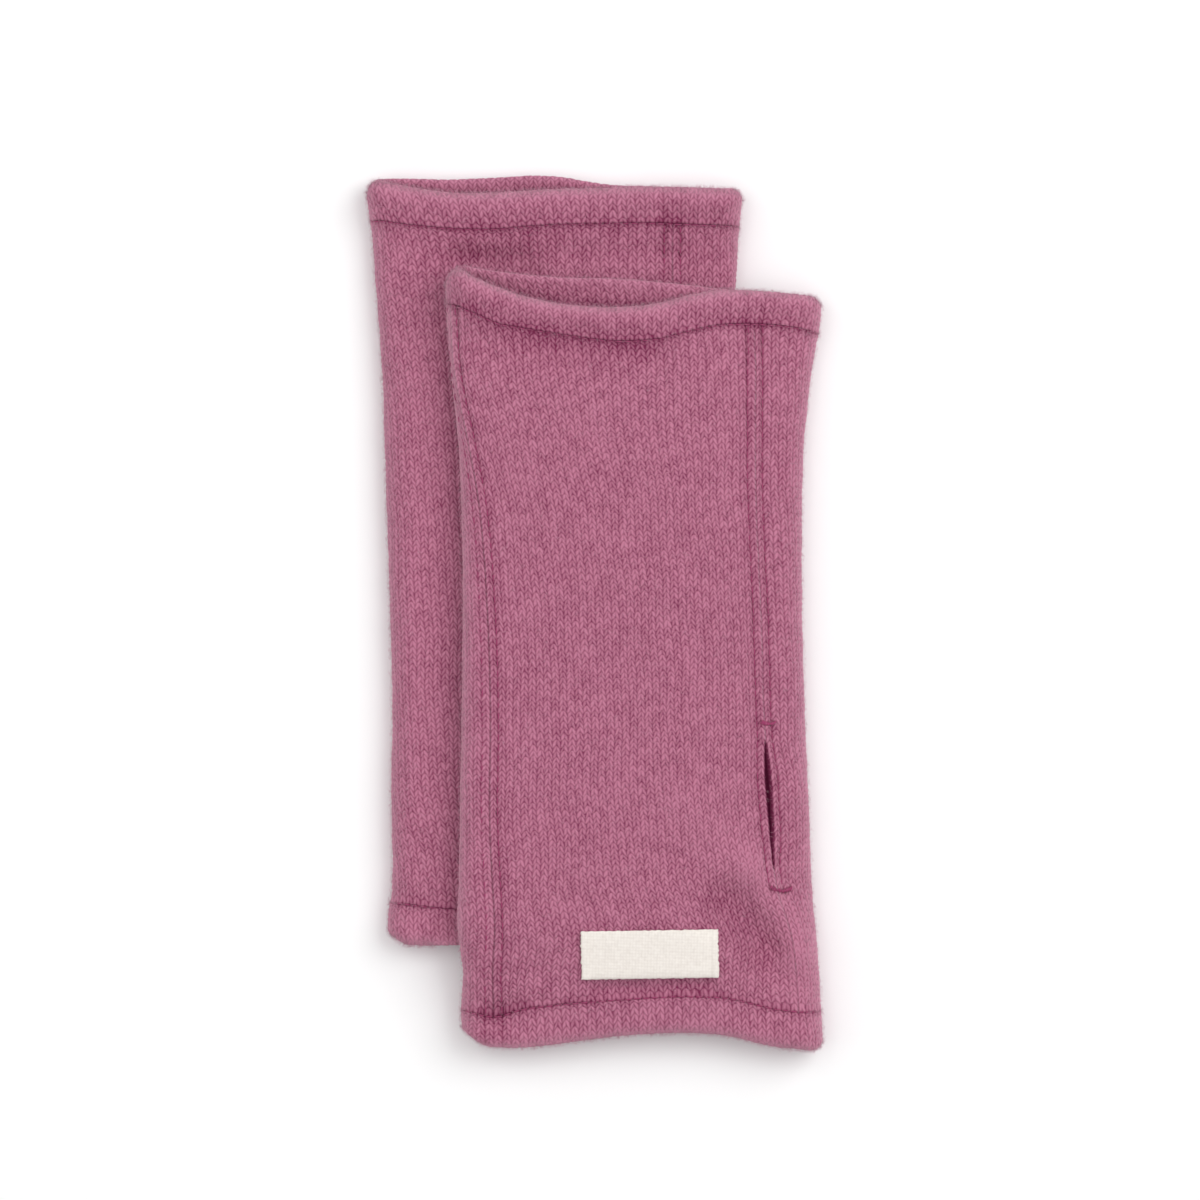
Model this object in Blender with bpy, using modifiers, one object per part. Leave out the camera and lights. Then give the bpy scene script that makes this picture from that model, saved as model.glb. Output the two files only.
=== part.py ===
"""A pair of long wrist warmers in thick wool knit, laid flat, the top one across the low one.

Each warmer is a tube sewn from a narrow back panel and a wide palm panel. A plain seam joins them on
one side and a thumb seam, open for the thumb slit, on the other. Both ends are turned in as a hem of
double cloth, and the top warmer's back panel carries a plain woven label.

The tube's outer skin is worked out from a few tables in millimetres: its two sides and its seams by
section along the length, its stitch lines and edges by column across each end, and its folds. The frame
is in metres: +X to the right, +Y from the hand end to the arm end, +Z up, with the origin on the
surface that the pair lies on, under its middle.
"""

import math

import bpy
import numpy as np
from mathutils import Vector
from mathutils.bvhtree import BVHTree

MM = 0.001

# Cloth, in millimetres
WALL = 1.8  # one layer of brushed knit
HEM_WALL = 3.6  # the same cloth turned in and stitched through
SEAM_GAP = 0.3  # between pieces that are sewn together
LAID_GAP = 0.3  # between the warmers
LABEL_GAP = 0.35  # under the label
LOFT = 10.4  # a tube's height where it lies flat: two walls and the air that its folds hold open
ARM_HEM_RISE = 2.4  # how much a double hem holds its mouth further open
TOP_HAND_HEM_RISE = 2.6
LABEL_WALL = 0.7  # woven tape with its ends folded under
SLIT_GAP = 2.0  # the thumb slit at its widest

# Share of the width that each side's fold takes
LEFT_FOLD = 0.070
RIGHT_FOLD = 0.060

# How the top warmer comes down to the surface past the low one: where the slope starts, how long it is
# on the underside, and how much longer at each end of it on the upper side
SLOPE_RIGHT_START = 37.0
SLOPE_RIGHT_LENGTH = 20.0
SLOPE_HAND_START = 94.5
SLOPE_HAND_LENGTH = 22.0
SLOPE_SPREAD = 9.0

# Relief of a seam, by distance from its join: two topstitched strips with a groove along each
SEAM_DISTANCE = (0.0, 0.9, 1.7, 2.3, 3.4)
SEAM_RELIEF = (-0.10, 0.40, 0.38, -0.22, 0.0)

# A panel's dip at a hem's stitch line, by distance from that line
DIP_DISTANCE = (0.0, 1.0, 2.4)
DIP_RELIEF = (-0.55, -0.25, 0.0)

# A hem's profile, from the stitch line round the turned edge to the stitch line inside: distance from
# the edge as a share of the hem's depth, and distance in from the outer skin
HEM_PROFILE = (
    # share, inward
    (0.97, 0.60),
    (0.85, 0.05),
    (0.25, -0.10),
    (0.06, 0.65),
    (0.00, 1.80),
    (0.06, 2.95),
    (0.25, 3.60),
    (0.97, 3.60),
)

# Sections along the length: each side's outline and each seam's join line. The low warmer lies palm up,
# so that its plain seam is on its underside.
Y, LEFT, RIGHT, PLAIN, THUMB = range(5)
TOP_SECTIONS = (
    # y, left, right, plain seam, thumb seam
    (-122.0, -36.6, 64.1, -28.3, 57.4),
    (-112.0, -37.7, 63.6, -28.3, 57.1),
    (-101.0, -37.2, 63.1, -28.6, 56.2),
    (-88.0, -38.6, 62.0, -28.0, 54.3),
    (-76.0, -38.4, 61.0, -28.6, 51.4),
    (-58.0, -38.0, 60.4, -29.4, 49.6),
    (-29.0, -37.5, 59.1, -29.2, 47.4),
    (0.0, -37.2, 58.4, -30.0, 46.5),
    (30.0, -37.6, 58.3, -32.4, 45.1),
    (50.0, -38.6, 59.1, -36.0, 44.9),
    (66.0, -40.4, 60.8, -39.2, 45.0),
    (84.0, -41.7, 63.5, -40.7, 45.1),
    (98.0, -42.0, 63.0, -40.9, 45.1),
)
LOW_SECTIONS = (
    # y, left, right, plain seam, thumb seam
    (-93.5, -58.0, 43.5, -28.8, 36.0),
    (-85.0, -58.2, 43.0, -27.6, 35.0),
    (-78.0, -57.2, 42.6, -26.5, 33.8),
    (-51.0, -57.4, 40.6, -22.5, 30.5),
    (-29.0, -57.1, 39.2, -21.1, 28.5),
    (0.0, -57.7, 38.0, -21.6, 26.5),
    (33.0, -58.8, 36.9, -22.4, 24.3),
    (66.0, -59.9, 37.6, -20.5, 22.4),
    (94.0, -61.9, 39.8, -18.3, 21.7),
    (106.0, -62.8, 40.5, -17.6, 21.7),
    (120.0, -64.6, 41.8, -17.3, 21.7),
)

# Ends: the hem's stitch line and turned edge on the upper layer, and its edge on the under layer
X, STITCH, EDGE, UNDER_EDGE = range(4)
TOP_ARM_END = (
    # x, stitch line, edge, under edge
    (-41.6, 86.0, 91.6, 92.6),
    (-38.0, 84.6, 94.6, 96.8),
    (-33.5, 82.8, 94.0, 96.6),
    (-26.9, 80.1, 91.3, 95.6),
    (-17.9, 78.7, 88.2, 94.6),
    (-9.0, 77.3, 86.5, 93.9),
    (5.3, 75.5, 85.7, 93.6),
    (17.9, 76.2, 86.8, 92.7),
    (26.9, 78.7, 89.0, 91.7),
    (35.8, 80.1, 90.2, 90.7),
    (50.7, 80.1, 89.9, 89.9),
    (63.0, 78.1, 88.6, 88.6),
)
TOP_HAND_END = (
    (-36.9, -111.4, -117.9, -117.3),
    (-33.3, -112.3, -120.9, -119.8),
    (-26.6, -113.1, -122.1, -120.9),
    (-19.9, -111.2, -122.1, -120.9),
    (-13.2, -110.2, -121.5, -120.3),
    (-3.1, -109.2, -120.2, -119.2),
    (9.5, -108.0, -118.8, -118.0),
    (27.2, -107.2, -118.2, -117.3),
    (37.2, -107.9, -119.0, -118.1),
    (50.7, -110.9, -122.1, -121.1),
    (63.6, -111.9, -123.1, -122.4),
)
LOW_ARM_END = (
    (-64.2, 109.6, 119.6, 120.4),
    (-60.5, 109.2, 120.6, 121.8),
    (-53.5, 108.4, 119.8, 121.8),
    (-40.0, 107.2, 118.0, 121.8),
    (-29.5, 107.0, 118.0, 122.2),
    (-16.5, 108.1, 118.7, 122.9),
    (-9.8, 108.5, 119.0, 122.5),
    (3.6, 108.8, 119.3, 120.4),
    (12.6, 108.8, 119.6, 120.0),
    (41.5, 107.9, 118.9, 119.2),
)
LOW_HAND_END = (
    (-58.0, -81.4, -90.9, -90.5),
    (-54.5, -81.6, -92.9, -92.1),
    (-50.0, -82.2, -93.4, -92.6),
    (-41.2, -83.0, -93.4, -92.6),
    (-10.0, -82.6, -93.0, -92.2),
    (43.0, -82.4, -93.0, -92.2),
)

# Folds and lifts of the upper layer: ridges where the height is positive, troughs where it is negative
FROM_X, FROM_Y, TO_X, TO_Y, REACH, HEIGHT = range(6)
TOP_FOLDS = (
    # from x, from y, to x, to y, reach, height
    (-38.0, 94.0, -33.0, 84.0, 11.0, 3.0),  # the mouth's lifted corner
    (-34.0, 75.5, 12.0, 72.0, 5.5, -0.9),  # the body dips under the arm hem
    (27.0, -52.0, 47.0, -80.0, 6.5, 1.3),  # ridge that runs down to the foot of the slit
    (47.0, -80.0, 54.0, -90.0, 6.0, 0.8),
    (25.0, -73.0, 45.0, -93.0, 6.0, -1.1),  # trough beside it
    (45.0, -93.0, 49.0, -103.0, 5.0, -0.6),
    (54.5, -94.0, 55.5, -116.0, 7.0, 0.9),  # puff by the hand hem's corner
    (-27.0, -113.0, -24.0, -113.0, 4.0, -0.6),  # pucker where the seam crosses the stitch line
)
LOW_FOLDS = (
    (-51.0, 70.0, -50.0, -60.0, 4.0, 0.7),  # the strip that the top warmer leaves bare
    (-34.0, 120.0, -6.0, 121.0, 7.0, 1.2),  # the arm mouth stands open
)

# Label on the top warmer's back panel
LABEL_CENTRE = (15.4, -95.4)
LABEL_SIZE = (38.4, 13.6)
LABEL_TURN = 0.9  # degrees
LABEL_CELLS = (10, 4)
ABOVE_ALL = 60.0  # a height clear of the pair

# Thumb slit, along the length
TOP_SLIT = (-77.3, -31.5)
LOW_SLIT = (-49.0, -5.0)

# Mesh
LOOP_SAMPLES = 480
BODY_ROWS = {"top": 20, "low": 15}
FLAT_PITCH = 7.0
FOLD_STEP = math.radians(26.0)
STEP = 1e-4  # for slopes by difference

KNIT_COLOUR = (0.407, 0.138, 0.220, 1.0)
LABEL_COLOUR = (0.84, 0.79, 0.75, 1.0)
KNIT_ROUGHNESS = 0.95
LABEL_ROUGHNESS = 0.8


def ease(share):
    """0 to 1 with level ends."""
    held = np.clip(share, 0.0, 1.0)
    return held * held * (3.0 - 2.0 * held)


def through(table, column, at, by=0):
    """Smooth curve through a table's rows: a column's value where the column by is at."""
    rows = np.asarray(table, dtype=float)
    knots, values = rows[:, by], rows[:, column]
    side = np.diff(values) / np.diff(knots)
    slope = np.concatenate(([side[0]], (side[1:] + side[:-1]) / 2.0, [side[-1]]))
    held = np.clip(at, knots[0], knots[-1])
    row = np.clip(np.searchsorted(knots, held) - 1, 0, len(knots) - 2)
    width = knots[row + 1] - knots[row]
    t = (held - knots[row]) / width
    start = (1.0 + 2.0 * t) * values[row] + t * width * slope[row]
    end = (3.0 - 2.0 * t) * values[row + 1] + (t - 1.0) * width * slope[row + 1]
    return (1.0 - t) ** 2 * start + t**2 * end


def folds_at(folds, x, y):
    """Height that the folds add at each place."""
    total = np.zeros_like(x)
    for fold in folds:
        run = np.array([fold[TO_X] - fold[FROM_X], fold[TO_Y] - fold[FROM_Y]])
        share = ((x - fold[FROM_X]) * run[0] + (y - fold[FROM_Y]) * run[1]) / (run @ run)
        share = np.clip(share, 0.0, 1.0)
        off_x = x - fold[FROM_X] - share * run[0]
        off_y = y - fold[FROM_Y] - share * run[1]
        total = total + fold[HEIGHT] * np.exp(-(off_x**2 + off_y**2) / fold[REACH] ** 2)
    return total


class Warmer:
    """One laid tube. A place on its skin is (along, around).

    along: -1 at the hand edge, 0 at the hand hem's stitch line, 1 at the arm hem's, 2 at the arm edge.
    around: 0 at the left side, over the upper layer to 1 at the right side, and under to 2 = 0.
    """

    def __init__(self, name, sections, arm_end, hand_end, folds, slit):
        self.name = name
        self.sections = sections
        self.arm_end = arm_end
        self.hand_end = hand_end
        self.folds = folds
        self.slit = slit
        self.on_top = name == "top"
        self.panels = ("back", "palm") if self.on_top else ("palm", "back")  # after each seam
        self.arm_line = float(np.mean([row[STITCH] for row in arm_end]))
        self.hand_line = float(np.mean([row[STITCH] for row in hand_end]))

    def across(self, around):
        """Share of the width from the left side, and side: 1 on the upper layer, -1 under, between at folds."""
        half = np.where(around <= 1.0, around, 2.0 - around)
        left = np.clip(half / LEFT_FOLD, 0.0, 1.0) * (math.pi / 2.0)
        right = np.clip((1.0 - half) / RIGHT_FOLD, 0.0, 1.0) * (math.pi / 2.0)
        share = np.where(half < LEFT_FOLD, LEFT_FOLD * (1.0 - np.cos(left)), half)
        share = np.where(half > 1.0 - RIGHT_FOLD, 1.0 - RIGHT_FOLD * (1.0 - np.cos(right)), share)
        side = np.sin(left) * np.sin(right) * np.where(around <= 1.0, 1.0, -1.0)
        return share, side

    def end_line(self, end, column, share):
        """An end's line across the width, by share of the width."""
        first, last = end[0][X], end[-1][X]
        return through(end, column, first + share * (last - first))

    def length_at(self, along, share, side):
        """The y of a place: hems between their stitch line and edge, the body between the stitch lines."""
        upper = (1.0 + side) / 2.0
        lines = []
        for end in (self.arm_end, self.hand_end):
            edge = self.end_line(end, EDGE, share)
            slack = (self.end_line(end, UNDER_EDGE, share) - edge) * (1.0 - upper)
            lines.append((self.end_line(end, STITCH, share) + slack, edge + slack))
        (arm_stitch, arm_edge), (hand_stitch, hand_edge) = lines
        body = np.clip(along, 0.0, 1.0)
        y = self.hand_line + (self.arm_line - self.hand_line) * body
        y = y + (arm_stitch - self.arm_line) * body**2
        y = y + (hand_stitch - self.hand_line) * (1.0 - body) ** 2
        y = y + np.clip(along - 1.0, 0.0, 1.0) * (arm_edge - arm_stitch)
        return y + np.clip(-along, 0.0, 1.0) * (hand_edge - hand_stitch)

    def under_height(self, x, y):
        """Height of the underside: the surface, or the low warmer where the top one lies on it."""
        if not self.on_top:
            return np.zeros_like(x)
        right = 1.0 - ease((x - SLOPE_RIGHT_START) / SLOPE_RIGHT_LENGTH)
        hand = 1.0 - ease((-y - SLOPE_HAND_START) / SLOPE_HAND_LENGTH)
        return (LOFT + LAID_GAP) * right * hand

    def upper_height(self, x, y, along):
        """Height of the upper side: the loft, the hems' rise, the folds and what lies beneath."""
        height = LOFT + folds_at(self.folds, x, y) + ARM_HEM_RISE * ease((along - 0.955) / 0.075)
        if not self.on_top:
            return height
        spread = 2.0 * SLOPE_SPREAD
        right = (x - SLOPE_RIGHT_START + SLOPE_SPREAD) / (SLOPE_RIGHT_LENGTH + spread)
        hand = (-y - SLOPE_HAND_START + SLOPE_SPREAD) / (SLOPE_HAND_LENGTH + spread)
        beneath = (LOFT + LAID_GAP) * (1.0 - ease(right)) * (1.0 - ease(hand))
        return height + beneath + TOP_HAND_HEM_RISE * ease((0.07 - along) / 0.10)

    def skin(self, along, around):
        """Points of the outer skin, in millimetres."""
        around = np.mod(around, 2.0)
        share, side = self.across(around)
        y = self.length_at(along, share, side)
        left = through(self.sections, LEFT, y)
        x = left + share * (through(self.sections, RIGHT, y) - left)
        under = self.under_height(x, y)
        z = under + (self.upper_height(x, y, along) - under) * (1.0 + side) / 2.0
        return np.stack([x, y, z], axis=-1)

    def outward(self, along, around):
        """Unit normals of the outer skin."""
        round_about = self.skin(along, around + STEP) - self.skin(along, around - STEP)
        lengthways = self.skin(along + STEP, around) - self.skin(along - STEP, around)
        normal = np.cross(round_about, lengthways)
        return normal / np.linalg.norm(normal, axis=-1, keepdims=True)

    def seam_places(self, along):
        """Where a row's loop meets the plain seam and the thumb seam, with the loop's places and arc length."""
        around = np.linspace(0.0, 2.0, LOOP_SAMPLES + 1)
        points = self.skin(np.full_like(around, along), np.minimum(around, 2.0 - 1e-9))
        arc = np.concatenate(([0.0], np.cumsum(np.linalg.norm(np.diff(points, axis=0), axis=1))))
        upper = around <= 1.0
        under = ~upper

        def meets(column, on_upper):
            part = upper if on_upper else under
            past = points[part, 0] - through(self.sections, column, points[part, 1])
            order = np.argsort(past)
            return np.interp(0.0, past[order], arc[part][order])

        return around, arc, meets(PLAIN, self.on_top), meets(THUMB, True)

    def slit_opening(self, y):
        """How far the thumb seam's two edges stand apart."""
        middle = (self.slit[0] + self.slit[1]) / 2.0
        half = (self.slit[1] - self.slit[0]) / 2.0
        share = np.clip(1.0 - ((y - middle) / half) ** 2, 0.0, 1.0)
        return SEAM_GAP + (SLIT_GAP - SEAM_GAP) * np.sqrt(share)

    def columns(self, along_row, from_seam):
        """A panel's columns, as shares of its width: close together at seams and folds."""
        places, arcs = self.row(along_row, np.linspace(0.0, 1.0, LOOP_SAMPLES), from_seam, 0.0)
        points = self.skin(np.full_like(places, along_row), places)
        step = np.diff(points, axis=0)
        turn = np.diff(np.arctan2(step[:, 2], step[:, 0]))
        turn = np.abs((turn + math.pi) % (2.0 * math.pi) - math.pi)
        density = np.linalg.norm(step, axis=1) / FLAT_PITCH
        density[1:] += turn / FOLD_STEP
        count = np.concatenate(([0.0], np.cumsum(density)))
        width = arcs[-1] - arcs[0]
        near = np.array(SEAM_DISTANCE) / width
        inner_from = near[-1] if self.seam_shows(from_seam) else 0.0
        inner_to = 1.0 - near[-1] if self.seam_shows(1 - from_seam) else 1.0
        shares = np.linspace(0.0, 1.0, LOOP_SAMPLES)
        low, high = np.interp((inner_from, inner_to), shares, count)
        cells = max(2, round(high - low))
        middle = np.interp(np.linspace(low, high, cells + 1), count, shares)
        start = near[:-1] if self.seam_shows(from_seam) else ()
        end = 1.0 - near[-2::-1] if self.seam_shows(1 - from_seam) else ()
        return np.concatenate((start, middle, end))

    def seam_shows(self, seam):
        """Whether a seam (0 plain, 1 thumb) lies on the upper side, where it stands in relief."""
        return seam == 1 or self.on_top

    def row(self, along, shares, from_seam, gap=None):
        """One row of a panel that runs from a seam (0 plain, 1 thumb) to the other: places and arc lengths."""
        around, arc, plain, thumb = self.seam_places(along)
        start, end = (plain, thumb) if from_seam == 0 else (thumb, plain)
        if end <= start:
            end += arc[-1]
        y = self.hand_line + (self.arm_line - self.hand_line) * along
        thumb_gap = self.slit_opening(y) if gap is None else gap
        plain_gap = SEAM_GAP if gap is None else gap
        gaps = (plain_gap, thumb_gap) if from_seam == 0 else (thumb_gap, plain_gap)
        at = start + gaps[0] / 2.0 + shares * (end - start - (gaps[0] + gaps[1]) / 2.0)
        return np.interp(np.mod(at, arc[-1]), arc, around), at

    def seam_relief(self, shares, width, from_seam):
        """How far the skin stands out beside the seams that show."""
        relief = np.zeros_like(shares)
        for seam, share in ((from_seam, shares), (1 - from_seam, 1.0 - shares)):
            if self.seam_shows(seam):
                relief += np.interp(share * width, SEAM_DISTANCE, SEAM_RELIEF)
        return relief

    def bare(self, points):
        """1 where the skin is free, 0 where the other warmer lies on it or the surface is under it."""
        clear = ease((points[..., 2] - 1.5) / 2.0)
        if self.on_top:
            return clear
        open_end = ease((points[..., 1] - 97.0) / 4.0)
        open_strip = ease((-43.5 - points[..., 0]) / 3.0)
        return clear * np.maximum(open_end, open_strip)


TOP = Warmer("top", TOP_SECTIONS, TOP_ARM_END, TOP_HAND_END, TOP_FOLDS, TOP_SLIT)
LOW = Warmer("low", LOW_SECTIONS, LOW_ARM_END, LOW_HAND_END, LOW_FOLDS, LOW_SLIT)


def body_rows(warmer):
    """The rows of a panel between its stitch lines, close together beside each hem."""
    length = warmer.arm_line - warmer.hand_line
    near = (np.array(DIP_DISTANCE) + SEAM_GAP / 2.0) / length
    middle = np.linspace(near[-1], 1.0 - near[-1], BODY_ROWS[warmer.name] + 1)
    return np.concatenate((near[:-1], middle, 1.0 - near[-2::-1])), length


def panel_points(warmer, from_seam):
    """The outer skin of a panel, as rows of points in millimetres."""
    rows, length = body_rows(warmer)
    shares = warmer.columns(0.5, from_seam)
    grid = []
    for along in rows:
        around, arcs = warmer.row(along, shares, from_seam)
        points = warmer.skin(np.full_like(around, along), around)
        normals = warmer.outward(np.full_like(around, along), around)
        from_hem = min(along, 1.0 - along) * length - SEAM_GAP / 2.0
        out = warmer.seam_relief(shares, arcs[-1] - arcs[0], from_seam)
        out = out + np.interp(from_hem, DIP_DISTANCE, DIP_RELIEF)
        grid.append(points + normals * (out * warmer.bare(points))[:, None])
    return np.array(grid)


def hem_points(warmer, arm):
    """A hem's closed ring: for each column, its profile's points in millimetres."""
    back = warmer.columns(0.5, 0)
    palm = warmer.columns(0.5, 1)
    ring = []
    for share, inward in HEM_PROFILE:
        depth = 1.0 - share
        along = 1.0 + depth if arm else -depth
        places, relief = [], []
        for shares, from_seam in ((back, 0), (palm, 1)):
            around, arcs = warmer.row(along, shares, from_seam, gap=0.0)
            out = warmer.seam_relief(shares, arcs[-1] - arcs[0], from_seam)
            places.append(around[:-1])
            relief.append(out[:-1])
        around = np.concatenate(places)
        points = warmer.skin(np.full_like(around, along), around)
        inside = np.full_like(around, 1.0 + depth * 0.999 if arm else -depth * 0.999)
        normals = warmer.outward(inside, around)
        out = np.concatenate(relief) * warmer.bare(points) * (inward < HEM_WALL / 2.0)
        under = 1.0 - warmer.bare(points)
        skin_in = np.where(under > 0.5, np.maximum(inward, 0.0), inward)
        ring.append(points + normals * (out - skin_in)[:, None])
    return np.array(ring)


def mesh_object(name, points, faces, material, collection):
    """A smooth-shaded object with its own mesh, from points in millimetres."""
    mesh = bpy.data.meshes.new(name)
    mesh.from_pydata([tuple(point) for point in points * MM], [], faces)
    mesh.validate()
    mesh.materials.append(material)
    mesh.shade_smooth()
    made = bpy.data.objects.new(name, mesh)
    collection.objects.link(made)
    return made


def grid_faces(rows, columns):
    """Quads of an open grid whose points run column by column within each row."""
    return [
        (r * columns + c, r * columns + c + 1, (r + 1) * columns + c + 1, (r + 1) * columns + c)
        for r in range(rows - 1)
        for c in range(columns - 1)
    ]


def make_panel(warmer, name, from_seam, material, collection):
    """A panel: its outer skin with the wall's thickness inwards."""
    grid = panel_points(warmer, from_seam)
    rows, columns, _ = grid.shape
    made = mesh_object(name, grid.reshape(-1, 3), grid_faces(rows, columns), material, collection)
    wall = made.modifiers.new("wall", "SOLIDIFY")
    wall.thickness = WALL * MM
    wall.offset = -1.0
    return made


def make_hem(warmer, name, arm, material, collection):
    """A hem: its profile carried round the tube's end."""
    ring = hem_points(warmer, arm)
    steps, columns, _ = ring.shape
    faces = []
    for p in range(steps):
        for c in range(columns):
            after, beside = (p + 1) % steps, (c + 1) % columns
            quad = (p * columns + c, after * columns + c, after * columns + beside, p * columns + beside)
            faces.append(quad[::-1] if arm else quad)
    return mesh_object(name, ring.reshape(-1, 3), faces, material, collection)


def make_label(name, panel, material, collection):
    """The woven label, from the points of the panel that it lies on, moved out."""
    across, down = LABEL_CELLS
    turn = math.radians(LABEL_TURN)
    u = np.linspace(-0.5, 0.5, across + 1) * LABEL_SIZE[0]
    v = np.linspace(-0.5, 0.5, down + 1) * LABEL_SIZE[1]
    u, v = np.meshgrid(u, v)
    x = LABEL_CENTRE[0] + u * math.cos(turn) - v * math.sin(turn)
    y = LABEL_CENTRE[1] + u * math.sin(turn) + v * math.cos(turn)
    skin = BVHTree.FromObject(panel, bpy.context.evaluated_depsgraph_get())
    points = []
    for place_x, place_y in zip(x.ravel(), y.ravel()):
        above = Vector((place_x, place_y, ABOVE_ALL)) * MM
        hit = skin.ray_cast(above, Vector((0.0, 0.0, -1.0)))[0]
        points.append((place_x, place_y, hit.z / MM + LABEL_GAP))
    made = mesh_object(name, np.array(points), grid_faces(down + 1, across + 1), material, collection)
    wall = made.modifiers.new("tape", "SOLIDIFY")
    wall.thickness = LABEL_WALL * MM
    wall.offset = 1.0
    return made


def cloth(name, colour, roughness):
    """A plain Principled material."""
    material = bpy.data.materials.new(name)
    material.use_nodes = True
    shader = material.node_tree.nodes["Principled BSDF"]
    shader.inputs["Base Color"].default_value = colour
    shader.inputs["Roughness"].default_value = roughness
    shader.inputs["Metallic"].default_value = 0.0
    return material


def build():
    """Make every piece of the pair."""
    for old in list(bpy.data.objects):
        bpy.data.objects.remove(old, do_unlink=True)
    pieces = bpy.data.collections.new("wrist_warmers")
    bpy.context.scene.collection.children.link(pieces)
    panels = {}
    for warmer in (TOP, LOW):
        for from_seam, piece in enumerate(warmer.panels):
            name = f"{warmer.name}_{piece}_panel"
            knit = cloth(f"{name}_knit", KNIT_COLOUR, KNIT_ROUGHNESS)
            panels[name] = make_panel(warmer, name, from_seam, knit, pieces)
        for arm, end in ((True, "arm"), (False, "hand")):
            name = f"{warmer.name}_{end}_hem"
            make_hem(warmer, name, arm, cloth(f"{name}_knit", KNIT_COLOUR, KNIT_ROUGHNESS), pieces)
    weave = cloth("label_weave", LABEL_COLOUR, LABEL_ROUGHNESS)
    make_label("top_label", panels["top_back_panel"], weave, pieces)


build()
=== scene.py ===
"""Looks of a pair of long wrist warmers in brushed wool jersey, laid flat one over the other.

Each warmer is a tube of two knitted panels with turned hems. Its skin is worked out from the same
sections, ends and folds as the solid model, and every stitch of the jersey is raised on it. Sewing
thread, bartacks, the woven label and the wool's nap are pieces of their own. Lengths are in
millimetres until a mesh is made, and meshes are in metres.
"""

import logging
import math
from dataclasses import dataclass, field
from enum import Enum, IntEnum

import bpy
import numpy as np
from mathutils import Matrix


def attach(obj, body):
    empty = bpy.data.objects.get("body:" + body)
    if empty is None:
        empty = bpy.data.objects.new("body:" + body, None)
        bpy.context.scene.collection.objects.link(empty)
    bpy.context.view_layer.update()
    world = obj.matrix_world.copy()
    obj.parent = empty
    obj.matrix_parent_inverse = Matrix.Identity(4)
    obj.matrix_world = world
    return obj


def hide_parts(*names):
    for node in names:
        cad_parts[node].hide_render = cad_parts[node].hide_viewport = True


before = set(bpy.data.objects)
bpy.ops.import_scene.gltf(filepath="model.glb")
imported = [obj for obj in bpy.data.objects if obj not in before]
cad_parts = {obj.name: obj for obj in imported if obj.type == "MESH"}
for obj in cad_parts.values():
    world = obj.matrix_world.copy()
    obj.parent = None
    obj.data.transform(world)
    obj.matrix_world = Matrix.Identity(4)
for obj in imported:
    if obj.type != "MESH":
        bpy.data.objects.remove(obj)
log = logging.getLogger("wrist_warmers")

Array = np.ndarray
TwoArrays = tuple[Array, Array]
Pair = tuple[float, float]
Triple = tuple[float, float, float]
Table = tuple[tuple[float, ...], ...]
Faces = list[list[int] | tuple[int, ...]]
Material = bpy.types.Material
Tree = bpy.types.NodeTree
Node = bpy.types.Node
Object = bpy.types.Object

MM = 0.001
TURN = 2.0 * math.pi
BODY = "root"

# Sections along the length: y, each side's outline, and each seam's join line.
LEFT, RIGHT = 1, 2
TOP_SECTIONS: Table = (
    (-122.0, -36.6, 64.1, -28.3, 57.4),
    (-112.0, -37.7, 63.6, -28.3, 57.1),
    (-101.0, -37.2, 63.1, -28.6, 56.2),
    (-88.0, -38.6, 62.0, -28.0, 54.3),
    (-76.0, -38.4, 61.0, -28.6, 50.8),
    (-58.0, -38.0, 60.4, -29.4, 49.3),
    (-29.0, -37.5, 59.1, -29.2, 47.4),
    (0.0, -37.2, 58.4, -30.0, 46.5),
    (30.0, -37.6, 58.3, -32.4, 45.1),
    (50.0, -38.6, 59.1, -36.0, 44.9),
    (66.0, -40.4, 60.8, -39.2, 45.0),
    (84.0, -41.7, 63.5, -40.7, 45.1),
    (98.0, -42.0, 63.0, -40.9, 45.1),
)
LOW_SECTIONS: Table = (
    (-93.5, -58.0, 43.5, -28.8, 36.0),
    (-85.0, -58.2, 43.0, -27.6, 35.0),
    (-78.0, -57.2, 42.6, -26.5, 33.8),
    (-51.0, -57.4, 40.6, -22.5, 30.5),
    (-29.0, -57.1, 39.2, -21.1, 28.5),
    (0.0, -57.7, 38.0, -21.6, 26.5),
    (33.0, -58.8, 36.9, -22.4, 24.3),
    (66.0, -59.9, 37.6, -20.5, 22.4),
    (94.0, -61.9, 39.8, -18.3, 21.7),
    (106.0, -62.8, 40.5, -17.6, 21.7),
    (120.0, -64.6, 41.8, -17.3, 21.7),
)

# Ends: the hem's stitch line and turned edge on the upper layer, and its edge on the under layer.
X, STITCH, EDGE, UNDER_EDGE = range(4)
TOP_ARM_END: Table = (
    (-41.6, 86.0, 92.4, 93.4),
    (-40.4, 85.6, 95.0, 96.2),
    (-37.6, 84.5, 95.6, 97.2),
    (-33.5, 82.8, 94.0, 96.6),
    (-26.9, 80.1, 91.3, 95.6),
    (-17.9, 78.7, 88.2, 94.6),
    (-9.0, 77.3, 86.5, 93.9),
    (5.3, 75.5, 85.7, 93.6),
    (17.9, 76.2, 86.8, 92.7),
    (26.9, 78.7, 89.0, 91.7),
    (35.8, 80.1, 90.2, 90.7),
    (50.7, 80.1, 89.9, 89.9),
    (58.8, 79.0, 89.2, 89.2),
    (61.0, 78.5, 89.0, 89.0),
    (62.3, 78.2, 88.4, 88.4),
    (63.0, 78.1, 87.3, 87.3),
)
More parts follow.
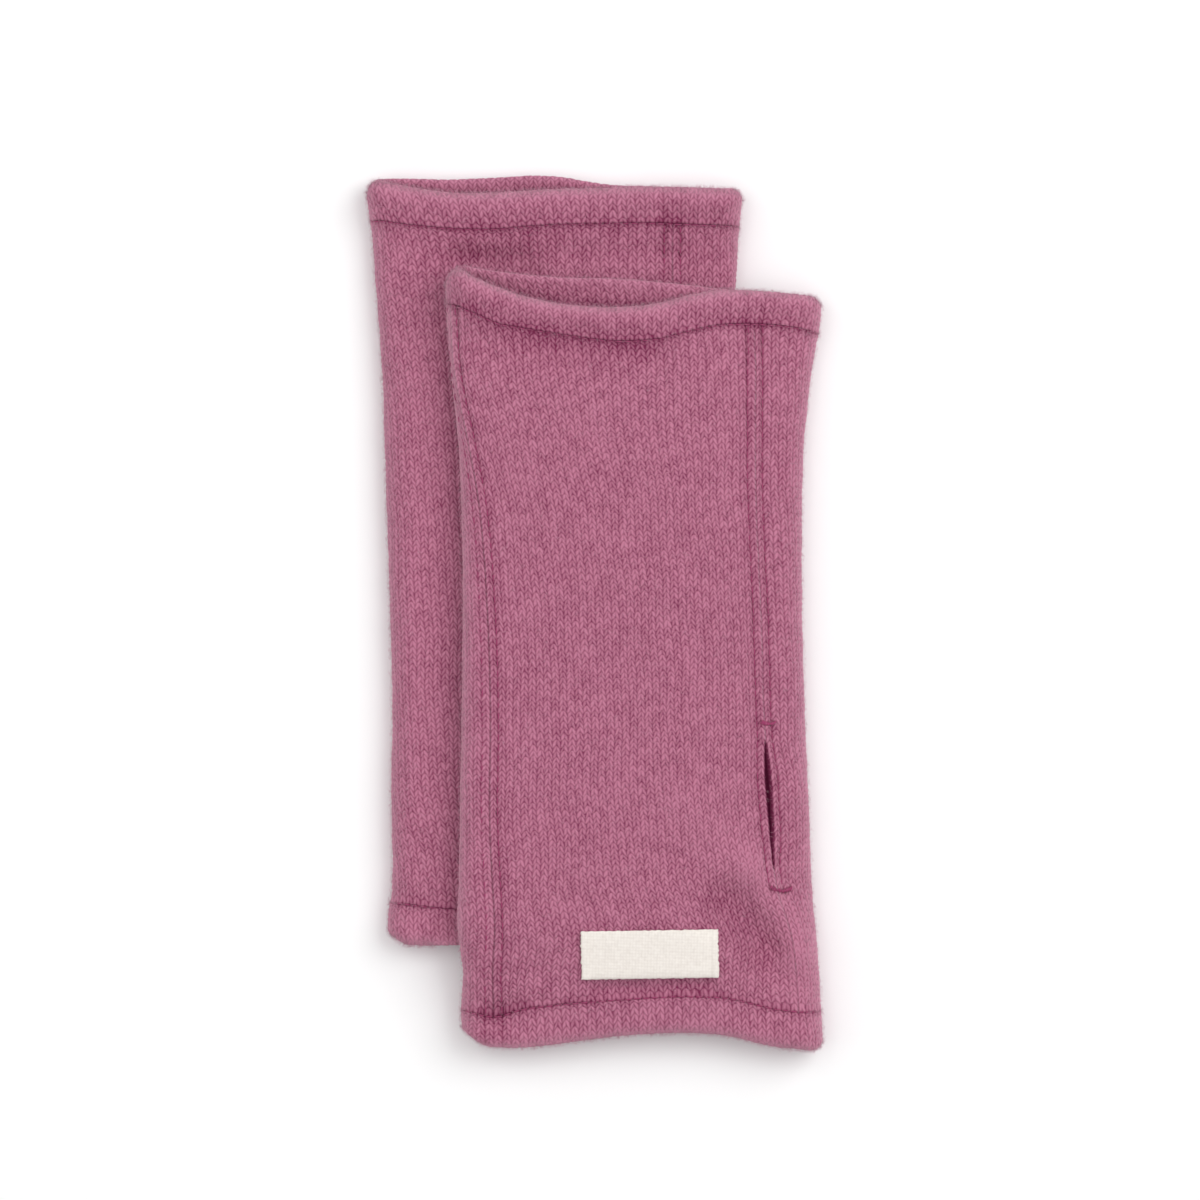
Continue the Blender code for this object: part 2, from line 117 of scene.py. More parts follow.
TOP_HAND_END: Table = (
    (-36.9, -111.4, -117.9, -117.3),
    (-33.3, -112.3, -120.9, -119.8),
    (-26.6, -113.1, -122.1, -120.9),
    (-19.9, -111.2, -122.1, -120.9),
    (-13.2, -110.2, -121.5, -120.3),
    (-3.1, -109.2, -120.2, -119.2),
    (9.5, -108.0, -118.8, -118.0),
    (27.2, -107.2, -118.2, -117.3),
    (37.2, -107.9, -119.0, -118.1),
    (50.7, -110.9, -122.1, -121.1),
    (59.4, -111.7, -123.0, -122.2),
    (61.8, -111.8, -123.0, -122.3),
    (63.0, -111.9, -122.5, -121.8),
    (63.6, -111.9, -121.7, -121.0),
)
LOW_ARM_END: Table = (
    (-64.2, 109.6, 117.9, 118.5),
    (-63.4, 109.5, 120.2, 120.8),
    (-62.0, 109.4, 121.1, 121.8),
    (-58.5, 109.0, 121.0, 122.0),
    (-53.5, 108.4, 119.9, 122.0),
    (-40.0, 107.2, 118.0, 121.8),
    (-29.5, 107.0, 118.0, 122.2),
    (-16.5, 108.1, 118.7, 122.9),
    (-9.8, 108.5, 119.0, 122.5),
    (3.6, 108.8, 119.3, 120.4),
    (12.6, 108.8, 119.6, 120.0),
    (37.4, 108.0, 119.0, 119.3),
    (39.6, 108.0, 118.9, 119.2),
    (40.8, 107.9, 118.3, 118.6),
    (41.5, 107.9, 117.2, 117.5),
)
LOW_HAND_END: Table = (
    (-58.0, -81.4, -90.9, -90.5),
    (-54.5, -81.6, -92.9, -92.1),
    (-50.0, -82.2, -93.4, -92.6),
    (-41.2, -83.0, -93.4, -92.6),
    (-10.0, -82.6, -93.0, -92.2),
    (43.0, -82.4, -93.0, -92.2),
)

# Folds of the upper layer: ridges where the height is positive, troughs where it is negative.
FROM_X, FROM_Y, TO_X, TO_Y, REACH, HEIGHT = range(6)
TOP_FOLDS: Table = (
    (-38.0, 94.0, -33.0, 84.0, 11.0, 2.4),
    (-14.0, 87.0, 24.0, 87.0, 10.0, -2.4),
    (-34.0, 75.5, 12.0, 72.0, 6.5, -1.3),
    (23.0, -51.0, 42.0, -69.0, 6.0, 1.2),
    (45.0, -72.0, 58.0, -94.0, 6.5, 3.0),
    (36.5, -81.0, 48.0, -92.5, 6.2, -3.2),
    (49.0, -94.0, 51.0, -102.0, 5.0, -0.9),
    (56.0, -97.0, 57.0, -116.0, 6.5, 2.6),
    (-27.0, -112.0, -24.0, -112.0, 4.0, -1.3),
    (1.0, -105.0, 32.0, -104.4, 2.6, -1.6),
)
LOW_FOLDS: Table = (
    (-51.0, 70.0, -50.0, -60.0, 4.0, 0.7),
    (-44.0, 118.0, 2.0, 119.0, 9.0, -2.2),
    (-42.0, 98.5, 32.0, 95.0, 8.0, -2.0),
    (-38.0, 97.6, -20.0, 96.4, 4.9, -2.6),
)


class Seam(IntEnum):
    """A seam along the tube. Its value is its column in the sections."""

    PLAIN = 3
    THUMB = 4


class End(IntEnum):
    """An end of the tube. Its value is the way along the tube to it."""

    HAND = -1
    ARM = 1


class Run(Enum):
    """The stretch of the tube's loop that a piece spans, from seam to seam."""

    PLAIN_TO_THUMB = 0
    THUMB_TO_PLAIN = 1
    WHOLE_TUBE = 2


# Curves and fields


def clamp(share: Array | float) -> Array:
    """Hold a share between 0 and 1."""
    return np.clip(share, 0.0, 1.0)


def ease(share: Array | float) -> Array:
    """Rise from 0 to 1 with level ends."""
    held = clamp(share)
    return held * held * (3.0 - 2.0 * held)


def past(place: Array | float, start: float, over: float) -> Array:
    """Rise from 0 at the start to 1 once the place is that much over it."""
    return ease((place - start) / over)


def bell(distance: Array | float, reach: float) -> Array:
    """1 at no distance, falling smoothly to nothing past the reach."""
    return np.exp(-((np.asarray(distance) / reach) ** 2))


def mound(distance: Array | float, height: float, reach: float) -> Array:
    """A height, or a depth where it is negative, that falls to nothing past its reach."""
    return height * bell(distance, reach)


def unit(vectors: Array) -> Array:
    """The same directions at length 1."""
    return vectors / np.linalg.norm(vectors, axis=-1, keepdims=True)


def through(table: Table, column: int, at: Array) -> Array:
    """Read a table as a smooth curve.

    Args:
        table: rows whose first column rises.
        column: the column to read.
        at: places along the first column.

    Returns:
        The column's values at those places.
    """
    rows = np.asarray(table, dtype=float)
    knots, values = rows[:, 0], rows[:, column]
    side = np.diff(values) / np.diff(knots)
    slope = np.concatenate(([side[0]], (side[1:] + side[:-1]) / 2.0, [side[-1]]))
    held = np.clip(at, knots[0], knots[-1])
    row = np.clip(np.searchsorted(knots, held) - 1, 0, len(knots) - 2)
    width = knots[row + 1] - knots[row]
    t = (held - knots[row]) / width
    start = (1.0 + 2.0 * t) * values[row] + t * width * slope[row]
    end = (3.0 - 2.0 * t) * values[row + 1] + (t - 1.0) * width * slope[row + 1]
    return (1.0 - t) ** 2 * start + t**2 * end


def folds_at(folds: Table, x: Array, y: Array) -> Array:
    """Add up the heights of all folds.

    Args:
        folds: rows of the fold tables.
        x, y: places across and along.

    Returns:
        The height at each place.
    """
    total = np.zeros_like(x)
    for fold in folds:
        run = np.array([fold[TO_X] - fold[FROM_X], fold[TO_Y] - fold[FROM_Y]])
        share = ((x - fold[FROM_X]) * run[0] + (y - fold[FROM_Y]) * run[1]) / (run @ run)
        share = clamp(share)
        off = np.hypot(x - fold[FROM_X] - share * run[0], y - fold[FROM_Y] - share * run[1])
        total = total + mound(off, fold[HEIGHT], fold[REACH])
    return total


@dataclass
class Wobble:
    """A smooth uneven field over a plane, the same each run."""

    seed: int
    wavelength: float
    waves: int = 14
    mix: Pair = (0.6, 1.5)  # shortest and longest wave numbers, as shares of the mean

    def __post_init__(self) -> None:
        """Draw the waves."""
        draw = np.random.default_rng(self.seed)
        turn = draw.uniform(0.0, TURN, self.waves)
        number = TURN / self.wavelength * draw.uniform(*self.mix, self.waves)
        self.across = number * np.cos(turn)
        self.down = number * np.sin(turn)
        self.phase = draw.uniform(0.0, TURN, self.waves)

    def at(self, x: Array, y: Array) -> Array:
        """Read the field.

        Args:
            x, y: places across and along.

        Returns:
            Values from about -1 to 1.
        """
        total = np.zeros(np.broadcast(x, y).shape)
        for across, down, phase in zip(self.across, self.down, self.phase):
            total = total + np.sin(across * x + down * y + phase)
        return total / math.sqrt(2.0 * self.waves)


# The knit's gauge and the laid tube


@dataclass(frozen=True)
class Jersey:
    """The plain knit: its gauge and the relief of one stitch, in millimetres.

    A wale is drawn with four columns and a course with three rows. The rows climb to the middle of
    each wale, so that every stitch is a small peak of two yarn legs. The depths are by row of the
    course.
    """

    back_wales: int = 36
    palm_wales: int = 54
    courses: int = 120
    columns: int = 4
    rows: int = 3
    course_pitch: float = 1.62
    wale_pitch: float = 2.2
    peak: float = 0.6  # how far a stitch's middle stands ahead of its feet, in courses
    between_wales: Triple = (-0.22, -0.26, -0.44)
    leg: Triple = (-0.24, 0.0, -0.10)
    middle: Triple = (-0.38, -0.20, -0.12)
    slant: Triple = (0.055, 0.0, -0.055)  # a leg's lean to the middle, in wales
    uneven: float = 0.045

    def relief(self, column: Array, row: Array) -> Array:
        """Depth of each place of the pattern, 0 at the yarn's crest."""
        table = np.array([self.between_wales, self.leg, self.middle, self.leg])
        return table[np.mod(column, self.columns), np.mod(row, self.rows)]

    def lean(self, column: Array, row: Array) -> Array:
        """Move each leg's column sideways.

        Args:
            column: grid columns.
            row: grid rows.

        Returns:
            The move, in wales.
        """
        from_start = np.mod(column, self.columns)
        side = np.where(from_start == 1, -1.0, np.where(from_start == 3, 1.0, 0.0))
        return side * np.array(self.slant)[np.mod(row, self.rows)]

    def climb(self, column: Array) -> Array:
        """How far each column's rows are pushed along, in courses."""
        half = self.columns / 2.0
        return self.peak * (1.0 - np.abs(np.mod(column, self.columns) - half) / half)


JERSEY = Jersey()


@dataclass(frozen=True)
class Slit:
    """The thumb slit in its seam: y of its foot, of its widest place and of its head."""

    foot: float
    widest: float
    head: float
    gap: float = 1.8
    tapers: Pair = (0.55, 0.5)  # how bluntly it closes at its head and its foot

    def opening(self, y: Array | float) -> Array:
        """How far the lips stand apart: soon wide below the head, then narrowing to the foot.

        Args:
            y: places along the seam.

        Returns:
            The gap at each place.
        """
        above = clamp((self.head - y) / (self.head - self.widest)) ** self.tapers[0]
        below = clamp((y - self.foot) / (self.widest - self.foot)) ** self.tapers[1]
        return self.gap * np.minimum(above, below)


@dataclass
class Lattice:
    """Places round the tube for shares of a panel's width, by rows along the tube."""

    alongs: Array
    shares: Array
    places: Array
    widths: Array

    def at(self, along: Array, share: Array) -> Array:
        """Interpolate the lattice.

        Args:
            along: places along the tube.
            share: shares of the panel's width.

        Returns:
            Places round the tube.
        """
        row = np.clip(np.searchsorted(self.alongs, along) - 1, 0, len(self.alongs) - 2)
        t = (along - self.alongs[row]) / (self.alongs[row + 1] - self.alongs[row])
        at_column = share * (len(self.shares) - 1)
        column = np.clip(at_column.astype(int), 0, len(self.shares) - 2)
        s = at_column - column
        near = self.places[row, column] * (1 - s) + self.places[row, column + 1] * s
        far = self.places[row + 1, column] * (1 - s) + self.places[row + 1, column + 1] * s
        return near * (1 - t) + far * t

    def width_at(self, along: Array) -> Array:
        """Width of the panel at a place along the tube."""
        return np.interp(along, self.alongs, self.widths)


@dataclass
class Tube:
    """One laid warmer's outer skin.

    A place on it is (along, around). along is -1 at the hand edge, 0 and 1 at the stitch lines of
    the hand and arm hems, and 2 at the arm edge. around is 0 at the left side, over the upper layer
    to 1 at the right side, and under to 2, which is 0 again.
    """

    name: str
    sections: Table
    arm_end: Table
    hand_end: Table
    folds: Table
    slit: Slit
    on_top: bool  # lies on the other warmer, with its plain seam up
    sunk_shade: float  # painted shade where the arm end sinks to its stitch line
    loft: float = 10.4  # height of the laid tube
    laid_gap: float = 0.3
    round_left: float = 0.070  # shares of the width that the round sides take
    round_right: float = 0.060
    # The top warmer comes down beside the low one: past which x or -y, and over how far.
    slope_right: Pair = (37.0, 20.0)
    slope_hand: Pair = (94.5, 22.0)
    slope_spread: float = 9.0  # its upper layer bridges the slope by this much each way
    # The hems stand proud: by how much, past which place along (-along at the hand), over how far.
    arm_hem: Triple = (2.4, 0.955, 0.075)
    hand_hem: Triple = (2.6, -0.07, 0.10)
    # Where the skin is free: off the surface by z, and on the low warmer past a y and an -x.
    off_surface: Pair = (1.5, 2.0)
    free_end: Pair = (97.0, 4.0)
    free_strip: Pair = (43.5, 3.0)
    # How much of a seam's relief is pressed flat in the arm hem, and below the thumb slit.
    flat_in_hem: Pair = (0.4, 0.3)  # the plain seam's, the thumb seam's
    hem_fade: float = 0.4
    flat_below_slit: float = 0.85
    slit_fade: Pair = (1.0, 8.0)
    # Steps of the layout.
    loop_steps: int = 600
    body_rows: int = 121
    hem_rows: int = 9
    share_steps: int = 161
    lattices: dict[Run, Lattice] = field(default_factory=dict)

    def __post_init__(self) -> None:
        """Find the stitch lines' mean places and lay out the panels."""
        self.arm_line = float(np.mean([row[STITCH] for row in self.arm_end]))
        self.hand_line = float(np.mean([row[STITCH] for row in self.hand_end]))
        self.length = self.arm_line - self.hand_line
        self.first_wales = JERSEY.back_wales if self.on_top else JERSEY.palm_wales
        self.lay_out()

    def across(self, around: Array) -> TwoArrays:
        """Fold the tube's loop flat, with round sides.

        Args:
            around: places round the tube, from 0 to 2.

        Returns:
            Share of the width from the left, and the side: 1 on the upper layer, -1 under.
        """
        half = np.where(around <= 1.0, around, 2.0 - around)
        left = clamp(half / self.round_left) * (math.pi / 2.0)
        right = clamp((1.0 - half) / self.round_right) * (math.pi / 2.0)
        share = np.where(half < self.round_left, self.round_left * (1.0 - np.cos(left)), half)
        by_right = 1.0 - self.round_right * (1.0 - np.cos(right))
        share = np.where(half > 1.0 - self.round_right, by_right, share)
        return share, np.sin(left) * np.sin(right) * np.where(around <= 1.0, 1.0, -1.0)

    def mean_y(self, along: Array | float) -> Array | float:
        """The y of a place along the body, before the end lines' bow."""
        return self.hand_line + self.length * along

    def length_at(self, along: Array, share: Array, side: Array) -> Array:
        """Place the rows, bowed near each end as its stitch line is.

        Args:
            along: places along the tube.
            share, side: what across gives.

        Returns:
            The y of each place.
        """
        under = (1.0 - side) / 2.0
        lines = []
        for end in (self.arm_end, self.hand_end):
            x = end[0][X] + share * (end[-1][X] - end[0][X])
            edge = through(end, EDGE, x)
            slack = (through(end, UNDER_EDGE, x) - edge) * under
            lines.append((through(end, STITCH, x) + slack, edge + slack))
        (arm_stitch, arm_edge), (hand_stitch, hand_edge) = lines
        body = clamp(along)
        y = self.mean_y(body) + (arm_stitch - self.arm_line) * body**2
        y = y + (hand_stitch - self.hand_line) * (1.0 - body) ** 2
        y = y + clamp(along - 1.0) * (arm_edge - arm_stitch)
        return y + clamp(-along) * (hand_edge - hand_stitch)

    def lift(self, x: Array, y: Array, spread: float) -> Array:
        """Height that the low warmer gives the top one where it lies on it.

        Args:
            x, y: places across and along.
            spread: how much its slope is widened each way.

        Returns:
            The height, 0 for the low warmer itself.
        """
        if not self.on_top:
            return np.zeros_like(x)
        right, hand = (
            past(place, start - spread, over + 2.0 * spread)
            for place, (start, over) in ((x, self.slope_right), (-y, self.slope_hand))
        )
        return (self.loft + self.laid_gap) * (1.0 - right) * (1.0 - hand)

    def upper_height(self, x: Array, y: Array, along: Array) -> Array:
        """Height of the upper layer: the loft, the folds, the hems and what lies beneath.

        Args:
            x, y: places across and along.
            along: the same places along the tube.

        Returns:
            The z of each place.
        """
        rise, start, over = self.arm_hem
        height = self.loft + folds_at(self.folds, x, y) + rise * past(along, start, over)
        if not self.on_top:
            return height
        rise, start, over = self.hand_hem
        return height + self.lift(x, y, self.slope_spread) + rise * past(-along, start, over)

    def skin(self, along: Array, around: Array) -> Array:
        """Place points on the outer skin.

        Args:
            along, around: places along the tube and round it.

        Returns:
            Points, with xyz as the last axis.
        """
        share, side = self.across(np.mod(around, 2.0))
        y = self.length_at(along, share, side)
        left = through(self.sections, LEFT, y)
        x = left + share * (through(self.sections, RIGHT, y) - left)
        under = self.lift(x, y, 0.0)
        z = under + (self.upper_height(x, y, along) - under) * (1.0 + side) / 2.0
        return np.stack([x, y, z], axis=-1)

    def lengthways(self, along: Array, around: Array, step: float) -> Array:
        """Unit directions along the skin toward the arm end, just short of the edges."""
        short = np.clip(along, -0.99, 1.99)
        return unit(self.skin(short + step, around) - self.skin(short - step, around))

    def outward(self, along: Array, around: Array, step: float = 1e-4) -> Array:
        """Find the outer skin's unit normals.

        Args:
            along, around: places along the tube and round it.
            step: the stretch of skin that is measured each way.

        Returns:
            Normals, with xyz as the last axis.
        """
        round_about = self.skin(along, around + step) - self.skin(along, around - step)
        up_and_down = self.skin(along + step, around) - self.skin(along - step, around)
        return unit(np.cross(round_about, up_and_down))

    def lay_out(self) -> None:
        """Share out the panels on each row's loop, between the seams."""
        in_hem = np.linspace(0.0, 1.0, self.hem_rows)
        in_body = np.linspace(0.0, 1.0, self.body_rows)
        alongs = np.concatenate((in_hem[:-1] - 1.0, in_body, in_hem[1:] + 1.0))
        shares = np.linspace(0.0, 1.0, self.share_steps)
        around = np.linspace(0.0, 2.0, self.loop_steps + 1)
        rows = {run: ([], []) for run in Run}
        for along in alongs:
            points = self.skin(np.full_like(around, along), np.minimum(around, 2.0 - 1e-9))
            steps = np.linalg.norm(np.diff(points, axis=0), axis=1)
            arc = np.concatenate(([0.0], np.cumsum(steps)))
            for run, (start, end) in self.spans(along, around, points, arc).items():
                at = start + shares * (end - start)
                turns = np.floor(at / arc[-1])
                rows[run][0].append(np.interp(at - turns * arc[-1], arc, around) + 2.0 * turns)
                rows[run][1].append(end - start)
        for run, (places, widths) in rows.items():
            self.lattices[run] = Lattice(alongs, shares, np.array(places), np.array(widths))

    def spans(
        self, along: float, around: Array, points: Array, arc: Array
    ) -> dict[Run, Pair]:
        """Find where each run starts and ends on one row's loop.

        Args:
            along: the row's place along the tube.
            around: places round the tube.
            points: the skin there.
            arc: the length round the loop to each of them.

        Returns:
            Start and end of each run, as lengths round the loop.
        """
        joins = []
        for seam, upper in ((Seam.PLAIN, self.on_top), (Seam.THUMB, True)):
            layer = (around <= 1.0) if upper else (around > 1.0)
            off = points[layer, 0] - through(self.sections, seam, points[layer, 1])
            order = np.argsort(off)
            joins.append(float(np.interp(0.0, off[order], arc[layer][order])))
        plain, thumb = joins
        in_body = 0.0 <= along <= 1.0
        lip = float(self.slit.opening(self.mean_y(along))) / 2.0 if in_body else 0.0
        whole = arc[-1]
        ends = ((plain, thumb - lip), (thumb + lip, plain), (plain, plain + whole))
        return {run: (a, b + whole if b < a else b) for run, (a, b) in zip(Run, ends)}

    def bare(self, points: Array) -> Array:
        """Tell free skin from skin that the other warmer or the surface covers.

        Args:
            points: places on the skin.

        Returns:
            1 where the skin is free, 0 where it is covered.
        """
        clear = past(points[..., 2], *self.off_surface)
        if self.on_top:
            return clear
        end = past(points[..., 1], *self.free_end)
        return clear * np.maximum(end, past(-points[..., 0], *self.free_strip))

    def seam_shows(self, seam: Seam) -> bool:
        """Whether a seam lies on the upper layer, where it stands in relief."""
        return seam is Seam.THUMB or self.on_top

    def seam_strength(self, seam: Seam, along: Array) -> Array:
        """How plainly a seam stands out: the thumb seam is pressed flat below its slit.

        Args:
            seam: which seam.
            along: places along the tube.

        Returns:
            1 for its full relief, less where it is pressed.
        """
        flat = self.flat_in_hem[0] if seam is Seam.PLAIN else self.flat_in_hem[1]
        strength = 1.0 - flat * past(along, 1.0, self.hem_fade)
        if seam is Seam.PLAIN:
            return strength
        gap, over = self.slit_fade
        below = past(-self.mean_y(along), gap - self.slit.foot, over)
        return (1.0 - self.flat_below_slit * below) * strength

    def along_at(self, x: Array, y: Array, rounds: int = 8) -> Array:
        """Find along for places on the upper layer of the body.

        Args:
            x, y: places across and along.
            rounds: how often the answer is mended.

        Returns:
            The same places along the tube.
        """
        left = through(self.sections, LEFT, y)
        share = (x - left) / (through(self.sections, RIGHT, y) - left)
        along = (y - self.hand_line) / self.length
        for _ in range(rounds):
            along = along + (y - self.length_at(along, share, np.ones_like(x))) / self.length
        return along


# Meshes


@dataclass
class MeshParts:
    """Points in millimetres, faces, and what the finish reads from them."""

    points: Array
    faces: Faces
    uv: Array | None = None
    # Painted shade, and painted light where it is negative.
    hollow_shade: Array | None = None
    tone: Array | None = None
    # Painted sheen on the tube's folded sides and along the turned edges.
    nap: Array | None = None
    reverse_from: int | None = None  # the first face of the reverse side
    flat_from: int | None = None  # the first flat-shaded face
    wrap: float | None = None  # the UV width of a ring, which its last column of faces closes


def corner_uv(mesh: bpy.types.Mesh, parts: MeshParts) -> Array:
    """Work out each face corner's UV.

    Args:
        mesh: the mesh with its faces made.
        parts: the UV by point, and a ring's UV width.

    Returns:
        UV by corner, running on past a ring's join.
    """
    corner = np.empty(len(mesh.loops), dtype=np.int32)
    mesh.loops.foreach_get("vertex_index", corner)
    uv = parts.uv[corner]
    if parts.wrap is not None:
        starts = np.empty(len(mesh.polygons), dtype=np.int32)
        totals = np.empty(len(mesh.polygons), dtype=np.int32)
        mesh.polygons.foreach_get("loop_start", starts)
        mesh.polygons.foreach_get("loop_total", totals)
        owner = np.repeat(np.arange(len(starts)), totals)
        most = np.maximum.reduceat(uv[:, 0], starts)[owner]
        uv[(most - uv[:, 0]) > parts.wrap / 2.0, 0] += parts.wrap
    return uv


def add_object(name: str, parts: MeshParts, materials: list[Material]) -> Object:
    """Make a smooth-shaded object.

    Args:
        name: the object's name.
        parts: points, faces, and the finish's attributes.
        materials: the face side's, and the reverse side's.

    Returns:
        The linked object.
    """
    mesh = bpy.data.meshes.new(name)
    mesh.from_pydata((parts.points * MM).tolist(), [], parts.faces)
    for material in materials:
        mesh.materials.append(material)
    number = np.arange(len(mesh.polygons))
    reverse = number >= (parts.reverse_from or len(number))
    mesh.polygons.foreach_set("material_index", reverse.astype(np.int32))
    mesh.polygons.foreach_set("use_smooth", number < (parts.flat_from or len(number)))
    if parts.uv is not None:
        uv = corner_uv(mesh, parts)
        mesh.uv_layers.new(name="knit").uv.foreach_set("vector", uv.astype(np.float32).ravel())
    for label, values in (("hollow_shade", parts.hollow_shade), ("tone", parts.tone), ("nap", parts.nap)):
        if values is not None:
            read = mesh.attributes.new(label, "FLOAT", "POINT")
            read.data.foreach_set("value", values.astype(np.float32).ravel())
    mesh.update()
    made = bpy.data.objects.new(name, mesh)
    bpy.context.scene.collection.objects.link(made)
    return made


def quads(first: int, rows: int, columns: int, flip: bool = False) -> Faces:
    """List the faces of a grid of points.

    Args:
        first: the grid's first point.
        rows: rows of points.
        columns: points in a row.
        flip: turn the faces over.

    Returns:
        The faces.
    """
    r, c = np.meshgrid(np.arange(rows - 1), np.arange(columns - 1), indexing="ij")
    corner = first + r * columns + c
    faces = np.stack([corner, corner + 1, corner + columns + 1, corner + columns], axis=-1)
    faces = faces[..., ::-1] if flip else faces
    return faces.reshape(-1, 4).tolist()


def rim(fine: Array, coarse: Array) -> Faces:
    """Join a fine border and a coarse one that has every nth of its places.

    Args:
        fine: the fine border's points.
        coarse: the coarse border's points.

    Returns:
        Triangles between them.
    """
    every = (len(fine) - 1) // (len(coarse) - 1)
    faces = []
    for cell in range(len(coarse) - 1):
        near, far = int(coarse[cell]), int(coarse[cell + 1])
        for k in range(every):
            a, b = int(fine[cell * every + k]), int(fine[cell * every + k + 1])
            faces.append((b, a, near if k < every // 2 else far))
        faces.append((near, far, int(fine[cell * every + every // 2])))
    return faces


# Finishes

# From and to which values of a field something changes, and from what to what.
Change = tuple[float, float, float, float]

# A Mix node's sockets when it mixes colours.
SHARE, FIRST, SECOND, MIXED = 0, 6, 7, 2


def linear(code: str) -> tuple[float, ...]:
    """Turn an sRGB hex colour to linear RGBA."""
    parts = (int(code[i : i + 2], 16) / 255.0 for i in (1, 3, 5))
    return (*(p / 12.92 if p <= 0.04045 else ((p + 0.055) / 1.055) ** 2.4 for p in parts), 1.0)


def feed(made: Node, inputs: dict | tuple) -> None:
    """Set or link a node's inputs.

    Args:
        made: the node.
        inputs: by name or number, or in order: a value, a socket, or a node for its first output.
    """
    for key, value in inputs.items() if isinstance(inputs, dict) else enumerate(inputs):
        source = value.outputs[0] if isinstance(value, Node) else value
        if isinstance(source, bpy.types.NodeSocket):
            made.id_data.links.new(source, made.inputs[key])
        else:
            made.inputs[key].default_value = source


def node(tree: Tree, kind: str, inputs: dict | tuple = (), **settings: str) -> Node:
    """Add a shader node.

    Args:
        tree: the material's node tree.
        kind: the node's type, without its prefix.
        inputs: what feed sets or links.
        settings: the node's own properties.

    Returns:
        The node.
    """
    made = tree.nodes.new(f"ShaderNode{kind}")
    for key, value in settings.items():
        setattr(made, key, value)
    feed(made, inputs)
    return made


def new_material(name: str) -> tuple[Material, Tree, Node]:
    """Start a material.

    Args:
        name: the material's name.

    Returns:
        The material, its tree and its Principled shader.
    """
    made = bpy.data.materials.new(name)
    made.use_nodes = True
    return made, made.node_tree, made.node_tree.nodes["Principled BSDF"]


